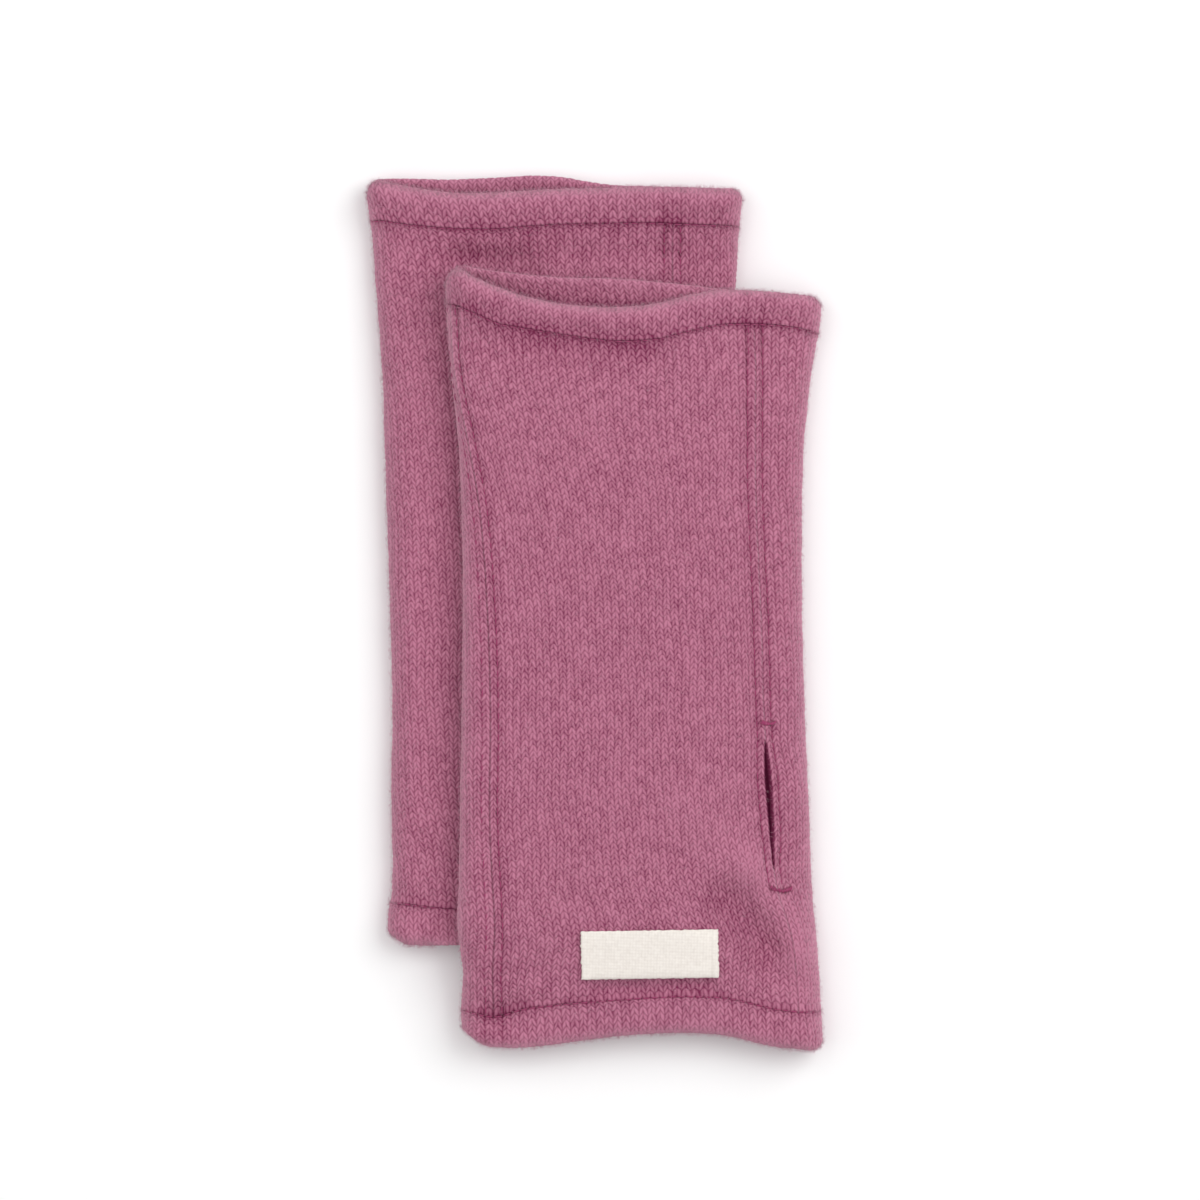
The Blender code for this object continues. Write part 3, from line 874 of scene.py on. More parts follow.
@dataclass(frozen=True)
class BrushedJersey:
    """Carded wool, knitted plain, milled and brushed: matt, its stitches softened by a short nap.

    The nap scatters light at the rims, where the cloth looks paler and greyer, so it has a wide
    sheen. A shade of 0 is the yarn's crest, and 1 the gaps between the stitches.
    """

    name: str = "brushed_wool_jersey"
    crest: str = "#C47D97"
    # The gaps' colour, which the painted shade also mixes toward.
    hollow_shade: str = "#7A2A4E"
    pale_fibre: str = "#C798AB"
    painted_sheen_tint: str = "#E6A8BE"  # painted sheen: paler over folds and turned edges, hiding the stitches
    painted_sheen_share: float = 0.62
    # Size of each uneven field in millimetres, and its detail.
    fibre: Pair = (0.35, 3.0)  # clumps; single fibres, 0.02 mm, are too fine to show
    mottle: Pair = (14.0, 2.0)
    veil: Pair = (6.0, 2.0)  # the nap lies thicker here and there over the stitches
    field_roughness: float = 0.6
    veil_change: Change = (0.35, 0.65, 0.6204, 0.6864)
    pale_change: Change = (0.58, 0.78, 0.0, 0.45)
    mottle_change: Change = (0.3, 0.7, 0.985, 1.015)
    # How much the stitch's tone, its leg's tone and the fibre lighten the shade, and its level.
    lightening: Triple = (-0.09, -0.36, -0.50)
    level: float = 0.31
    # The drawn stitch.
    stray_scale: float = 0.85
    stray: Pair = (0.48, 0.768)  # how far stitches stray, in wales and courses
    leg_slant: float = 0.40
    leg_width: float = 0.54
    leg_round: Pair = (0.95, 0.15)  # how its sides fall away, and the inner one more
    leg_gap: Pair = (6.0, 0.10)  # the gap between wales: its narrowness and depth
    leg_ends: Pair = (4.0, 0.75)  # the gap between courses: the same
    purl_sway: float = 0.2
    # Relief and gloss.
    fibre_height: float = 0.35
    bump: float = 0.7
    bump_mm: float = 0.30
    roughness: float = 0.92
    specular: float = 0.2
    sheen: float = 0.9
    sheen_roughness: float = 0.38
    sheen_tint: str = "#E9BFCD"
    pressed: float = 2.4  # the sheen falls where shade is painted, as where stitching presses the nap down
    painted_glow: float = 0.16  # painted light: the reverse side glows faintly, for light let in through the wall
    reverse: bool = False  # the unbrushed side, which has no sheen

    def make(self) -> Material:
        """Build the material.

        Returns:
            The material.
        """
        material, tree, shader = new_material(self.name)
        place = node(tree, "TexCoord").outputs["Object"]
        shared = {"Vector": place, "Roughness": self.field_roughness}
        fibre, mottle, veil = (
            node(tree, "TexNoise", {**shared, "Scale": 1.0 / (size * MM), "Detail": detail})
            for size, detail in (self.fibre, self.mottle, self.veil)
        )
        # Painted shade, painted light where negative, random tone, and painted sheen, from the
        # mesh.
        hollow_shade, tone, nap = (
            node(tree, "Attribute", attribute_name=name).outputs["Fac"]
            for name in ("hollow_shade", "tone", "nap")
        )
        rise, leg_tone = self.purl(tree) if self.reverse else self.stitches(tree)
        contrast = node(tree, "MapRange", (veil, *self.veil_change))
        shade = node(tree, "Math", (1.0, rise), operation="SUBTRACT")
        shade = node(tree, "Math", (shade, contrast), operation="MULTIPLY")
        shade = node(tree, "Math", (shade, hollow_shade), operation="ADD")
        for part, weight in zip((tone, leg_tone, fibre), self.lightening):
            shade = node(tree, "Math", (part, weight, shade), operation="MULTIPLY_ADD")
        shade = node(tree, "Math", (shade, self.level), operation="ADD")
        pale = node(tree, "MapRange", (fibre, *self.pale_change))
        # Painted sheen on folded sides and rims.
        painted_sheen = node(tree, "Math", (nap, self.painted_sheen_share), operation="MULTIPLY")
        wool = linear(self.crest)
        layers = ((shade, self.hollow_shade), (pale, self.pale_fibre), (painted_sheen, self.painted_sheen_tint))
        for share, colour in layers:
            inputs = {SHARE: share, FIRST: wool, SECOND: linear(colour)}
            wool = node(tree, "Mix", inputs, data_type="RGBA").outputs[MIXED]
        even = node(tree, "MapRange", (mottle, *self.mottle_change))
        height = node(tree, "Math", (fibre, self.fibre_height, rise), operation="MULTIPLY_ADD")
        bump = {"Height": height, "Strength": self.bump, "Distance": self.bump_mm * MM}
        finish = {
            "Base Color": node(tree, "HueSaturation", {"Value": even, "Color": wool}),
            "Normal": node(tree, "Bump", bump),
            "Roughness": self.roughness,
            "Specular IOR Level": self.specular,
            "Sheen Roughness": self.sheen_roughness,
            "Sheen Tint": linear(self.sheen_tint),
        }
        if self.reverse:
            # Painted light: a faint glow in the gaps' colour.
            finish["Emission Color"] = linear(self.hollow_shade)
            finish["Emission Strength"] = self.painted_glow
        else:
            raised = node(tree, "Math", (hollow_shade, -self.pressed, 1.0), operation="MULTIPLY_ADD")
            raised = node(tree, "Clamp", (raised,))
            finish["Sheen Weight"] = node(tree, "Math", (raised, self.sheen), operation="MULTIPLY")
        feed(shader, finish)
        return material

    def stitches(self, tree: Tree) -> tuple[Node, Node]:
        """Draw the two slanting legs of every stitch.

        The UV map counts wales and courses. A leg is a rounded stroke from the foot, by the next
        wale, up to the wale's middle.

        Args:
            tree: the material's node tree.

        Returns:
            The yarn's height, from 0 to 1 on its crest, and each leg's own tone about 0.
        """
        uv = node(tree, "UVMap", uv_map="knit")
        stray = {"Vector": uv, "Scale": self.stray_scale, "Detail": 2.0}
        stray = node(tree, "TexNoise", stray).outputs["Color"]
        stray = node(tree, "VectorMath", (stray, (0.5, 0.5, 0.5)), operation="SUBTRACT")
        uv = node(tree, "VectorMath", (stray, (*self.stray, 0.0), uv), operation="MULTIPLY_ADD")
        wale, course = node(tree, "SeparateXYZ", (uv,)).outputs[:2]
        # side is 0 in the middle of a wale and 1 between wales, up is -0.5 to 0.5 along a course.
        side = wale
        for operation, by in (("ADD", 0.5), ("PINGPONG", 0.5), ("MULTIPLY", 2.0)):
            side = node(tree, "Math", (side, by), operation=operation)
        up = node(tree, "Math", (course,), operation="FRACT")
        up = node(tree, "Math", (up, 0.5), operation="SUBTRACT")
        # off is the distance from the leg's middle line, as a share of its width.
        off = node(tree, "Math", (side, 0.5), operation="SUBTRACT")
        off = node(tree, "Math", (up, self.leg_slant, off), operation="MULTIPLY_ADD")
        off = node(tree, "Math", (off, self.leg_width), operation="DIVIDE")
        fall, lopside = self.leg_round
        size = node(tree, "Math", (off,), operation="ABSOLUTE")
        lop = node(tree, "Math", (off, size), operation="MULTIPLY")
        lop = node(tree, "Math", (lop, lopside), operation="MULTIPLY")
        square = node(tree, "Math", (off, off), operation="MULTIPLY")
        off = node(tree, "Math", (square, fall, lop), operation="MULTIPLY_ADD")
        narrow, depth = self.leg_gap
        gap = node(tree, "Math", (side, narrow), operation="POWER")
        gap = node(tree, "Math", (gap, depth), operation="MULTIPLY")
        narrow, depth = self.leg_ends
        ends = node(tree, "Math", (up,), operation="ABSOLUTE")
        ends = node(tree, "Math", (ends, 2.0), operation="MULTIPLY")
        ends = node(tree, "Math", (ends, narrow), operation="POWER")
        ends = node(tree, "Math", (ends, depth, gap), operation="MULTIPLY_ADD")
        rise = node(tree, "Math", (1.0, off), operation="SUBTRACT")
        rise = node(tree, "Clamp", (node(tree, "Math", (rise, ends), operation="SUBTRACT"),))
        cell = node(tree, "VectorMath", (uv, (2.0, 1.0, 0.0)), operation="MULTIPLY")
        cell = node(tree, "VectorMath", (cell,), operation="FLOOR")
        own = node(tree, "TexWhiteNoise", {"Vector": cell}, noise_dimensions="2D")
        return rise, node(tree, "Math", (own, 0.5), operation="SUBTRACT")

    def purl(self, tree: Tree) -> tuple[Node, float]:
        """Draw the reverse side's waves, one to a course.

        Args:
            tree: the material's node tree.

        Returns:
            The yarn's height from 0 to 1, and no tone of its own.
        """
        wale, course = node(tree, "SeparateXYZ", (node(tree, "UVMap", uv_map="knit"),)).outputs[:2]
        sway = node(tree, "Math", (wale, TURN), operation="MULTIPLY")
        sway = node(tree, "Math", (sway,), operation="SINE")
        course = node(tree, "Math", (sway, self.purl_sway, course), operation="MULTIPLY_ADD")
        wave = node(tree, "Math", (course, TURN), operation="MULTIPLY")
        wave = node(tree, "Math", (wave,), operation="SINE")
        return node(tree, "Math", (wave, 0.5, 0.5), operation="MULTIPLY_ADD"), 0.0


@dataclass(frozen=True)
class SpunThread:
    """Spun polyester sewing thread, dyed to the wool: a little darker and smoother than it."""

    name: str = "spun_polyester_thread"
    colour: str = "#A93C70"
    groove: str = "#8C2754"
    twist_mm: float = 0.35
    bump: float = 0.4
    bump_mm: float = 0.05
    roughness: float = 0.65
    sheen: float = 0.2

    def make(self) -> Material:
        """Build the material, with the thread's twist as fine bands.

        Returns:
            The material.
        """
        material, tree, shader = new_material(self.name)
        place = node(tree, "TexCoord").outputs["Object"]
        twist = {"Vector": place, "Scale": 1.0 / (self.twist_mm * MM), "Detail": 2.0}
        twist = node(tree, "TexNoise", twist)
        colour = {SHARE: twist, FIRST: linear(self.groove), SECOND: linear(self.colour)}
        bump = {"Height": twist, "Strength": self.bump, "Distance": self.bump_mm * MM}
        finish = {
            "Base Color": node(tree, "Mix", colour, data_type="RGBA").outputs[MIXED],
            "Normal": node(tree, "Bump", bump),
            "Roughness": self.roughness,
            "Sheen Weight": self.sheen,
        }
        feed(shader, finish)
        return material


@dataclass(frozen=True)
class WovenTape:
    """Off-white cotton tape in a close plain weave, unbleached and matt, its yarns just visible."""

    name: str = "woven_cotton_tape"
    yarn: str = "#FEF8F1"
    between: str = "#D8CEC5"
    pitch_mm: float = 0.42  # yarn spacing; the real 0.25 mm is too fine to show
    one_wave: float = 0.3183  # the wave texture's scale for a spacing of 1
    uneven: float = 0.6
    slubs_to_metre: float = 900.0
    shade: Pair = (0.7, 0.1)
    bump: float = 0.5
    bump_mm: float = 0.06
    roughness: float = 0.85
    sheen: float = 0.15

    def make(self) -> Material:
        """Build the material, with crossed bands for warp and weft.

        Returns:
            The material.
        """
        material, tree, shader = new_material(self.name)
        bands = {
            "Vector": node(tree, "UVMap", uv_map="knit"),
            "Scale": self.one_wave / self.pitch_mm,
            "Distortion": self.uneven,
            "Detail": 1.0,
        }
        warp, weft = (
            node(tree, "TexWave", bands, bands_direction=direction).outputs["Fac"]
            for direction in ("X", "Y")
        )
        weave = node(tree, "Math", (warp, weft), operation="MULTIPLY")
        place = node(tree, "TexCoord").outputs["Object"]
        slub = {"Vector": place, "Scale": self.slubs_to_metre, "Detail": 3.0}
        shade = node(tree, "Math", (weave, node(tree, "TexNoise", slub)), operation="ADD")
        shade = node(tree, "Math", (shade, *self.shade), operation="MULTIPLY_ADD")
        colour = {SHARE: shade, FIRST: linear(self.between), SECOND: linear(self.yarn)}
        bump = {"Height": weave, "Strength": self.bump, "Distance": self.bump_mm * MM}
        finish = {
            "Base Color": node(tree, "Mix", colour, data_type="RGBA").outputs[MIXED],
            "Normal": node(tree, "Bump", bump),
            "Roughness": self.roughness,
            "Sheen Weight": self.sheen,
        }
        feed(shader, finish)
        return material


@dataclass(frozen=True)
class LooseWool:
    """Single brushed-up wool fibres: paler than the cloth, because light passes round them."""

    name: str = "loose_wool_fibre"
    colour: str = "#C48CA2"
    tone_mm: float = 2.0
    tone: Change = (0.3, 0.7, 0.8, 1.2)
    roughness: float = 0.8
    sheen: float = 0.4

    def make(self) -> Material:
        """Build the material, with a slow change of tone from fibre to fibre.

        Returns:
            The material.
        """
        material, tree, shader = new_material(self.name)
        place = node(tree, "TexCoord").outputs["Object"]
        tone = node(tree, "TexNoise", {"Vector": place, "Scale": 1.0 / (self.tone_mm * MM)})
        level = node(tree, "MapRange", (tone, *self.tone))
        colour = node(tree, "HueSaturation", {"Value": level, "Color": linear(self.colour)})
        finish = {"Base Color": colour, "Roughness": self.roughness, "Sheen Weight": self.sheen}
        feed(shader, finish)
        return material


@dataclass(frozen=True)
class PaleFloor:
    """Matt white studio board."""

    name: str = "white_studio_board"
    colour: str = "#FFFFFF"
    roughness: float = 0.95

    def make(self) -> Material:
        """Build the material.

        Returns:
            The material.
        """
        material, _, shader = new_material(self.name)
        feed(shader, {"Base Color": linear(self.colour), "Roughness": self.roughness})
        return material


@dataclass
class Finishes:
    """The materials, made once."""

    knit: Material
    reverse: Material
    thread: Material
    tape: Material
    fibre: Material

    @classmethod
    def make(cls) -> "Finishes":
        """Build them all.

        Returns:
            The set.
        """
        jersey = BrushedJersey()
        reverse = BrushedJersey(name="wool_jersey_reverse", reverse=True)
        made = (jersey, reverse, SpunThread(), WovenTape(), LooseWool())
        return cls(*(finish.make() for finish in made))


# Cloth


@dataclass
class Laid:
    """A piece's grid of stitches laid on the tube, each field an array of rows by columns."""

    row: Array
    column: Array
    from_end: Array  # courses to the nearer stitch line
    along: Array
    around: Array
    points: Array
    normals: Array
    bare: Array

    def __post_init__(self) -> None:
        """Work out what the relief and the shade both need."""
        self.x, self.y = self.points[..., 0], self.points[..., 1]
        self.from_line = self.from_end * JERSEY.course_pitch
        self.level = clamp(self.normals[..., 2]) ** 2  # 1 where the skin faces up


@dataclass
class ClothWork:
    """What the cloth pieces share: the tube, and the relief and shade by seams and stitch lines.

    A pair of numbers for a relief or a shade is its depth and its reach.
    """

    tube: Tube
    face: Material
    back: Material
    seed: int
    tube_seed: int
    climb_in: float = 1.5  # courses from a stitch line over which the stitches take their shape
    # Beside a seam: a raised strip of turnings, out to the topstitch's groove.
    stitch_at: float = 2.25
    strip_edge: float = 1.1
    strip_height: float = 0.20
    strip_shade: float = 0.07
    groove: Pair = (-0.40, 0.8)
    groove_shade: Pair = (0.20, 0.95)
    # Along a hem's stitch line, where the thread draws all stitches to one level.
    drawn_to: Pair = (-0.15, 0.45)
    line_groove: Pair = (-0.20, 1.5)
    line_shade: Pair = (0.33, 1.3)
    arm_valley: Pair = (-1.5, 8.0)
    hand_valley: Pair = (-0.6, 4.0)
    # Painted shade by the arm stitch line: strongest past this x, over how far, and before this
    # one.
    sunk_from: Pair = (-40.0, 8.0)
    sunk_to: Pair = (30.0, 25.0)
    sunk_reach: float = 4.5
    # Painted shade where a seam, thick with its own turnings, crosses a hem's stitch line.
    crossing_shade: float = 0.22
    crossing_reach: Pair = (7.5, 1.4)
    shade_range: Pair = (-0.3, 1.0)
    # Single stitches differ in depth and tone.
    relief_salt: int = 7
    tone_salt: int = 11
    tone_spread: float = 0.3
    side_sheen_gather: float = 1.4  # how closely the painted sheen keeps to the tube's folded sides

    def lay(
        self, row: Array, column: Array, from_end: Array, along: Array, around: Array
    ) -> Laid:
        """Lay a grid of stitches on the tube.

        Args:
            row, column: the knit's rows and columns.
            from_end: courses to the nearer stitch line.
            along, around: places along the tube and round it.

        Returns:
            The laid grid.
        """
        points = self.tube.skin(along, around)
        normals = self.tube.outward(np.clip(along, -0.999, 1.999), around)
        bare = self.tube.bare(points)
        return Laid(row, column, from_end, along, around, points, normals, bare)

    def unevenness(self, u: Array, v: Array, salt: int) -> Array:
        """Draw a difference from stitch to stitch, the same all over a yarn leg.

        Args:
            u, v: places in wales and in courses.
            salt: what tells this draw from others.

        Returns:
            The difference, with a spread of 1.
        """
        draw = np.random.default_rng(self.seed + salt)
        leg = np.floor(u * 2.0).astype(int)
        course = np.floor(v).astype(int)
        grid = draw.normal(0.0, 1.0, (course.max() - course.min() + 1, leg.max() - leg.min() + 1))
        return grid[course - course.min(), leg - leg.min()]

    def stitch_relief(self, laid: Laid, u: Array, v: Array) -> Array:
        """Relief of the uneven stitches, never above the yarn's crest."""
        uneven = JERSEY.uneven * self.unevenness(u, v, self.relief_salt)
        return np.minimum(JERSEY.relief(laid.column, laid.row) + uneven, 0.0)

    def drawn_level(self, relief: Array, from_end: Array) -> Array:
        """Relief beside a stitch line, where the thread draws all stitches to one level."""
        level, reach = self.drawn_to
        return relief + (level - relief) * bell(from_end, reach)

    def side_strength(self, seam: Seam) -> float:
        """How plainly a seam stands out on this piece."""
        return 1.0

    def beside_seams(self, laid: Laid, distances: dict[Seam, Array]) -> TwoArrays:
        """Raise the cloth beside the seams that show, and paint shade on the strips and in the
        grooves.

        Args:
            laid: the laid grid.
            distances: how far it is from each seam.

        Returns:
            Relief and painted shade.
        """
        out, painted_shade = np.zeros_like(laid.along), np.zeros_like(laid.along)
        for seam, distance in distances.items():
            if self.tube.seam_shows(seam):
                strength = self.side_strength(seam) * self.tube.seam_strength(seam, laid.along)
                strip = ease((self.stitch_at - distance) / self.strip_edge)
                off = distance - self.stitch_at
                out += (self.strip_height * strip + mound(off, *self.groove)) * strength
                painted_shade += (mound(off, *self.groove_shade) + self.strip_shade * strip) * strength
        return out, painted_shade

    def by_lines(self, laid: Laid) -> Array:
        """Paint shade along the stitch lines, and more where a seam crosses one.

        Args:
            laid: the laid grid.

        Returns:
            The painted shade.
        """
        reach, line_reach = self.crossing_reach
        crossing = np.zeros_like(laid.x)
        for seam in Seam:
            if self.tube.seam_shows(seam):
                off = laid.x - through(self.tube.sections, seam, laid.y)
                strength = self.tube.seam_strength(seam, laid.along)
                crossing = crossing + bell(off, reach) * bell(laid.from_line, line_reach) * strength
        line = mound(laid.from_line, *self.line_shade)
        return line + self.crossing_shade * crossing * laid.bare

    def sunk(self, x: Array) -> Array:
        """How much shade is painted where the arm end sinks to its stitch line, by x."""
        (left, left_over), (right, right_over) = self.sunk_from, self.sunk_to
        return past(x, left, left_over) * ease((right - x) / right_over)

    def side_sheen(self, around: Array) -> Array:
        """Painted sheen, most along the tube's two folded sides."""
        side = self.tube.across(np.mod(around, 2.0))[1]
        return (1.0 - np.abs(side)) ** self.side_sheen_gather


@dataclass
class KnitPanel(ClothWork):
    """One cut panel between the stitch lines: stitches on its face, a plain wall behind."""

    run: Run = Run.PLAIN_TO_THUMB
    wales: int = 36
    wall: float = 1.8
    back_every: tuple[int, int] = (12, 4)  # rows and columns of stitches to a step of the back
    faint_side: float = 0.25  # the palm's side of the plain seam, where the topstitch sinks in
    # Wales and courses stray: how far, and over how many millimetres they bend.
    sway: Pair = (0.18, 26.0)
    bob: Pair = (0.25, 18.0)
    side_steady: float = 3.0  # wales beside a join that keep to it
    # The whole cloth ripples, but not at its stitch lines.
    ripple: Pair = (0.10, 11.0)
    ripple_in: float = 4.0
    # The nap closes over a join, and an open join is the slit's lip, which gets painted shade.
    cover_depth: float = 0.10
    cover_reach: float = 0.5
    lip_shade: float = 0.5
    lip_reach: float = 0.35
    closed_below: float = 0.02
    fold_shade: float = 0.07  # painted shade in fold troughs and painted light on ridges, for each millimetre of a fold's depth
    # How far below the arm hem's stitch line that painted shade lies, and how uneven it is along
    # it.
    sunk_off: float = 1.5
    sunk_uneven: Pair = (0.35, 16.0)
    # Painted shade on the reverse side, inside the tube.
    reverse_shade: float = 0.55
    # The painted shade is darkest under the slit: beside it, beyond its ends, and over how far.
    slit_shade: Triple = (9.0, 8.0, 6.0)

    def build(self, name: str) -> Object:
        """Make the panel.

        Args:
            name: the object's name.

        Returns:
            The panel, a closed shell.
        """
        laid, stitch, u, v = self.lay_stitches()
        distances = self.seam_distances(laid)
        cover, lip = self.joins(laid, distances)
        relief = self.stitch_relief(laid, u, v) * (1.0 - cover) - self.cover_depth * cover
        relief = self.drawn_level(relief, laid.from_end)
        out, painted_shade = self.beside_seams(laid, distances)
        dip = self.dip(laid)
        height, bend = self.ripple
        ripple = height * Wobble(self.tube_seed, bend).at(laid.x, laid.y) - height
        ripple = ripple * ease(laid.from_line / self.ripple_in)
        outer = (relief + (out + dip + ripple) * laid.bare)[..., None]
        inner = (np.minimum(dip, 0.0) * laid.bare - self.wall)[..., None]
        every = tuple(slice(None, None, step) for step in self.back_every)
        behind = (laid.points + laid.normals * inner)[every]
        folds = folds_at(self.tube.folds, laid.x, laid.y) * laid.bare
        # Painted shade by stitch lines, on the slit's lips and in troughs, painted light on ridges.
        painted_shade = painted_shade + self.by_lines(laid) + self.below_arm_line(laid)
        painted_shade = painted_shade + self.lip_shade * lip - self.cover_depth * cover - self.fold_shade * folds
        painted_shade = np.clip(painted_shade, *self.shade_range)
        tone = self.tone_spread * self.unevenness(u, v, self.tone_salt)
        parts = self.close(laid.points + laid.normals * outer, behind)
        none = np.zeros(behind[..., 0].size)
        parts.uv = np.concatenate([stitch.reshape(-1, 2), stitch[every].reshape(-1, 2)])
        # The reverse side gets painted shade, darkest under the slit.
        parts.hollow_shade = np.concatenate([painted_shade.ravel(), self.inside_shade(behind).ravel()])
        parts.tone = np.concatenate([tone.ravel(), none])
        # Painted sheen along the folded sides.
        parts.nap = np.concatenate([self.side_sheen(laid.around).ravel(), none])
        return add_object(name, parts, [self.face, self.back])

    def lay_stitches(self) -> tuple[Laid, Array, Array, Array]:
        """Lay the panel's stitches, each a little astray.

        Returns:
            The laid grid, its UV, and its places in wales and in courses.
        """
        rows = JERSEY.courses * JERSEY.rows + 1
        columns = self.wales * JERSEY.columns + 1
        row, column = np.meshgrid(np.arange(rows), np.arange(columns), indexing="ij")
        from_end = np.minimum(row, rows - 1 - row) / JERSEY.rows
        from_side = np.minimum(column, columns - 1 - column) / JERSEY.columns
        u, v = column / JERSEY.columns, row / JERSEY.rows
        sway, bob = (
            share * Wobble(seed, bend).at(u * JERSEY.wale_pitch, v * JERSEY.course_pitch)
            for seed, (share, bend) in ((self.seed, self.sway), (self.seed + 1, self.bob))
        )
        u = u + JERSEY.lean(column, row)
        stitch = np.stack([u, v], axis=-1)
        u = u + sway * ease(from_side / self.side_steady)
        v = v + (JERSEY.climb(column) + bob) * ease(from_end / self.climb_in)
        along = np.clip(v, 0.0, JERSEY.courses) / JERSEY.courses
        around = self.tube.lattices[self.run].at(along, u / self.wales)
        return self.lay(row, column, from_end, along, around), stitch, u, v

    def dip(self, laid: Laid) -> Array:
        """Draw the cloth down toward the stitch lines.

        Args:
            laid: the laid grid.

        Returns:
            Relief, mostly negative.
        """
        at_arm = mound(laid.from_line, *self.arm_valley)
        at_hand = mound(laid.from_line, *self.hand_valley)
        valley = np.where(laid.row > (JERSEY.courses * JERSEY.rows + 1) / 2, at_arm, at_hand)
        return (valley + mound(laid.from_line, *self.line_groove)) * laid.level

    def seam_distances(self, laid: Laid) -> dict[Seam, Array]:
        """Measure from the seams at the panel's two sides.

        Args:
            laid: the laid grid.

        Returns:
            How far each place is from each seam.
        """
        width = self.tube.lattices[self.run].width_at(laid.along)
        from_start = laid.column / (self.wales * JERSEY.columns) * width
        plain_first = self.run is Run.PLAIN_TO_THUMB
        first, last = (Seam.PLAIN, Seam.THUMB) if plain_first else (Seam.THUMB, Seam.PLAIN)
        return {first: from_start, last: width - from_start}

    def side_strength(self, seam: Seam) -> float:
        """How plainly a seam stands out on this panel."""
        faint = seam is Seam.PLAIN and self.run is Run.THUMB_TO_PLAIN
        return self.faint_side if faint else 1.0

    def joins(self, laid: Laid, distances: dict[Seam, Array]) -> TwoArrays:
        """Tell closed joins from the slit's lips.

        Args:
            laid: the laid grid.
            distances: how far it is from each seam.

        Returns:
            1 on a closed join, and 1 on a lip.
        """
        closed = self.tube.slit.opening(self.tube.mean_y(laid.along)) < self.closed_below
        at_thumb, at_plain = distances[Seam.THUMB], distances[Seam.PLAIN]
        cover = bell(at_thumb, self.cover_reach) * closed + bell(at_plain, self.cover_reach)
        return clamp(cover), bell(at_thumb, self.lip_reach) * ~closed

    def below_arm_line(self, laid: Laid) -> Array:
        """Paint shade on the cloth where it sinks to the arm hem's stitch line, uneven along it.

        Args:
            laid: the laid grid.

        Returns:
            The painted shade.
        """
        rows_off = (JERSEY.courses * JERSEY.rows - laid.row) / JERSEY.rows
        off = rows_off * JERSEY.course_pitch - self.sunk_off
        share, bend = self.sunk_uneven
        uneven = 1.0 + share * Wobble(self.seed + 3, bend).at(laid.x, np.zeros_like(laid.x))
        return mound(off, self.tube.sunk_shade, self.sunk_reach) * self.sunk(laid.x) * uneven

    def inside_shade(self, behind: Array) -> Array:
        """Paint shade on the reverse side, darkest under the thumb slit.

        Args:
            behind: the back's points.

        Returns:
            The shade of each.
        """
        x, y = behind[..., 0], behind[..., 1]
        beside, beyond, over = self.slit_shade
        slit = self.tube.slit
        by_slit = bell(x - through(self.tube.sections, Seam.THUMB, y), beside)
        by_slit = by_slit * past(y, slit.foot - beyond, over)
        by_slit = by_slit * past(-y, -slit.head - beyond, over)
        return self.reverse_shade + (1.0 - self.reverse_shade) * by_slit

    def close(self, face: Array, behind: Array) -> MeshParts:
        """Join the face and the wall behind it with rims all round.

        Args:
            face: the face's points.
            behind: the back's points, fewer in each row and column.

        Returns:
            A closed shell.
        """
        rows, columns, _ = face.shape
        back_rows, back_columns, _ = behind.shape
        first = rows * columns
        fine = np.arange(first).reshape(rows, columns)
        coarse = first + np.arange(back_rows * back_columns).reshape(back_rows, back_columns)
        faces = quads(0, rows, columns)
        reverse_from = len(faces)
        faces += quads(first, back_rows, back_columns, flip=True)
        flat_from = len(faces)
        faces += rim(fine[0], coarse[0]) + rim(fine[-1][::-1], coarse[-1][::-1])
        faces += rim(fine[::-1, 0], coarse[::-1, 0]) + rim(fine[:, -1], coarse[:, -1])
        points = np.concatenate([face.reshape(-1, 3), behind.reshape(-1, 3)])
        return MeshParts(points, faces, reverse_from=reverse_from, flat_from=flat_from)


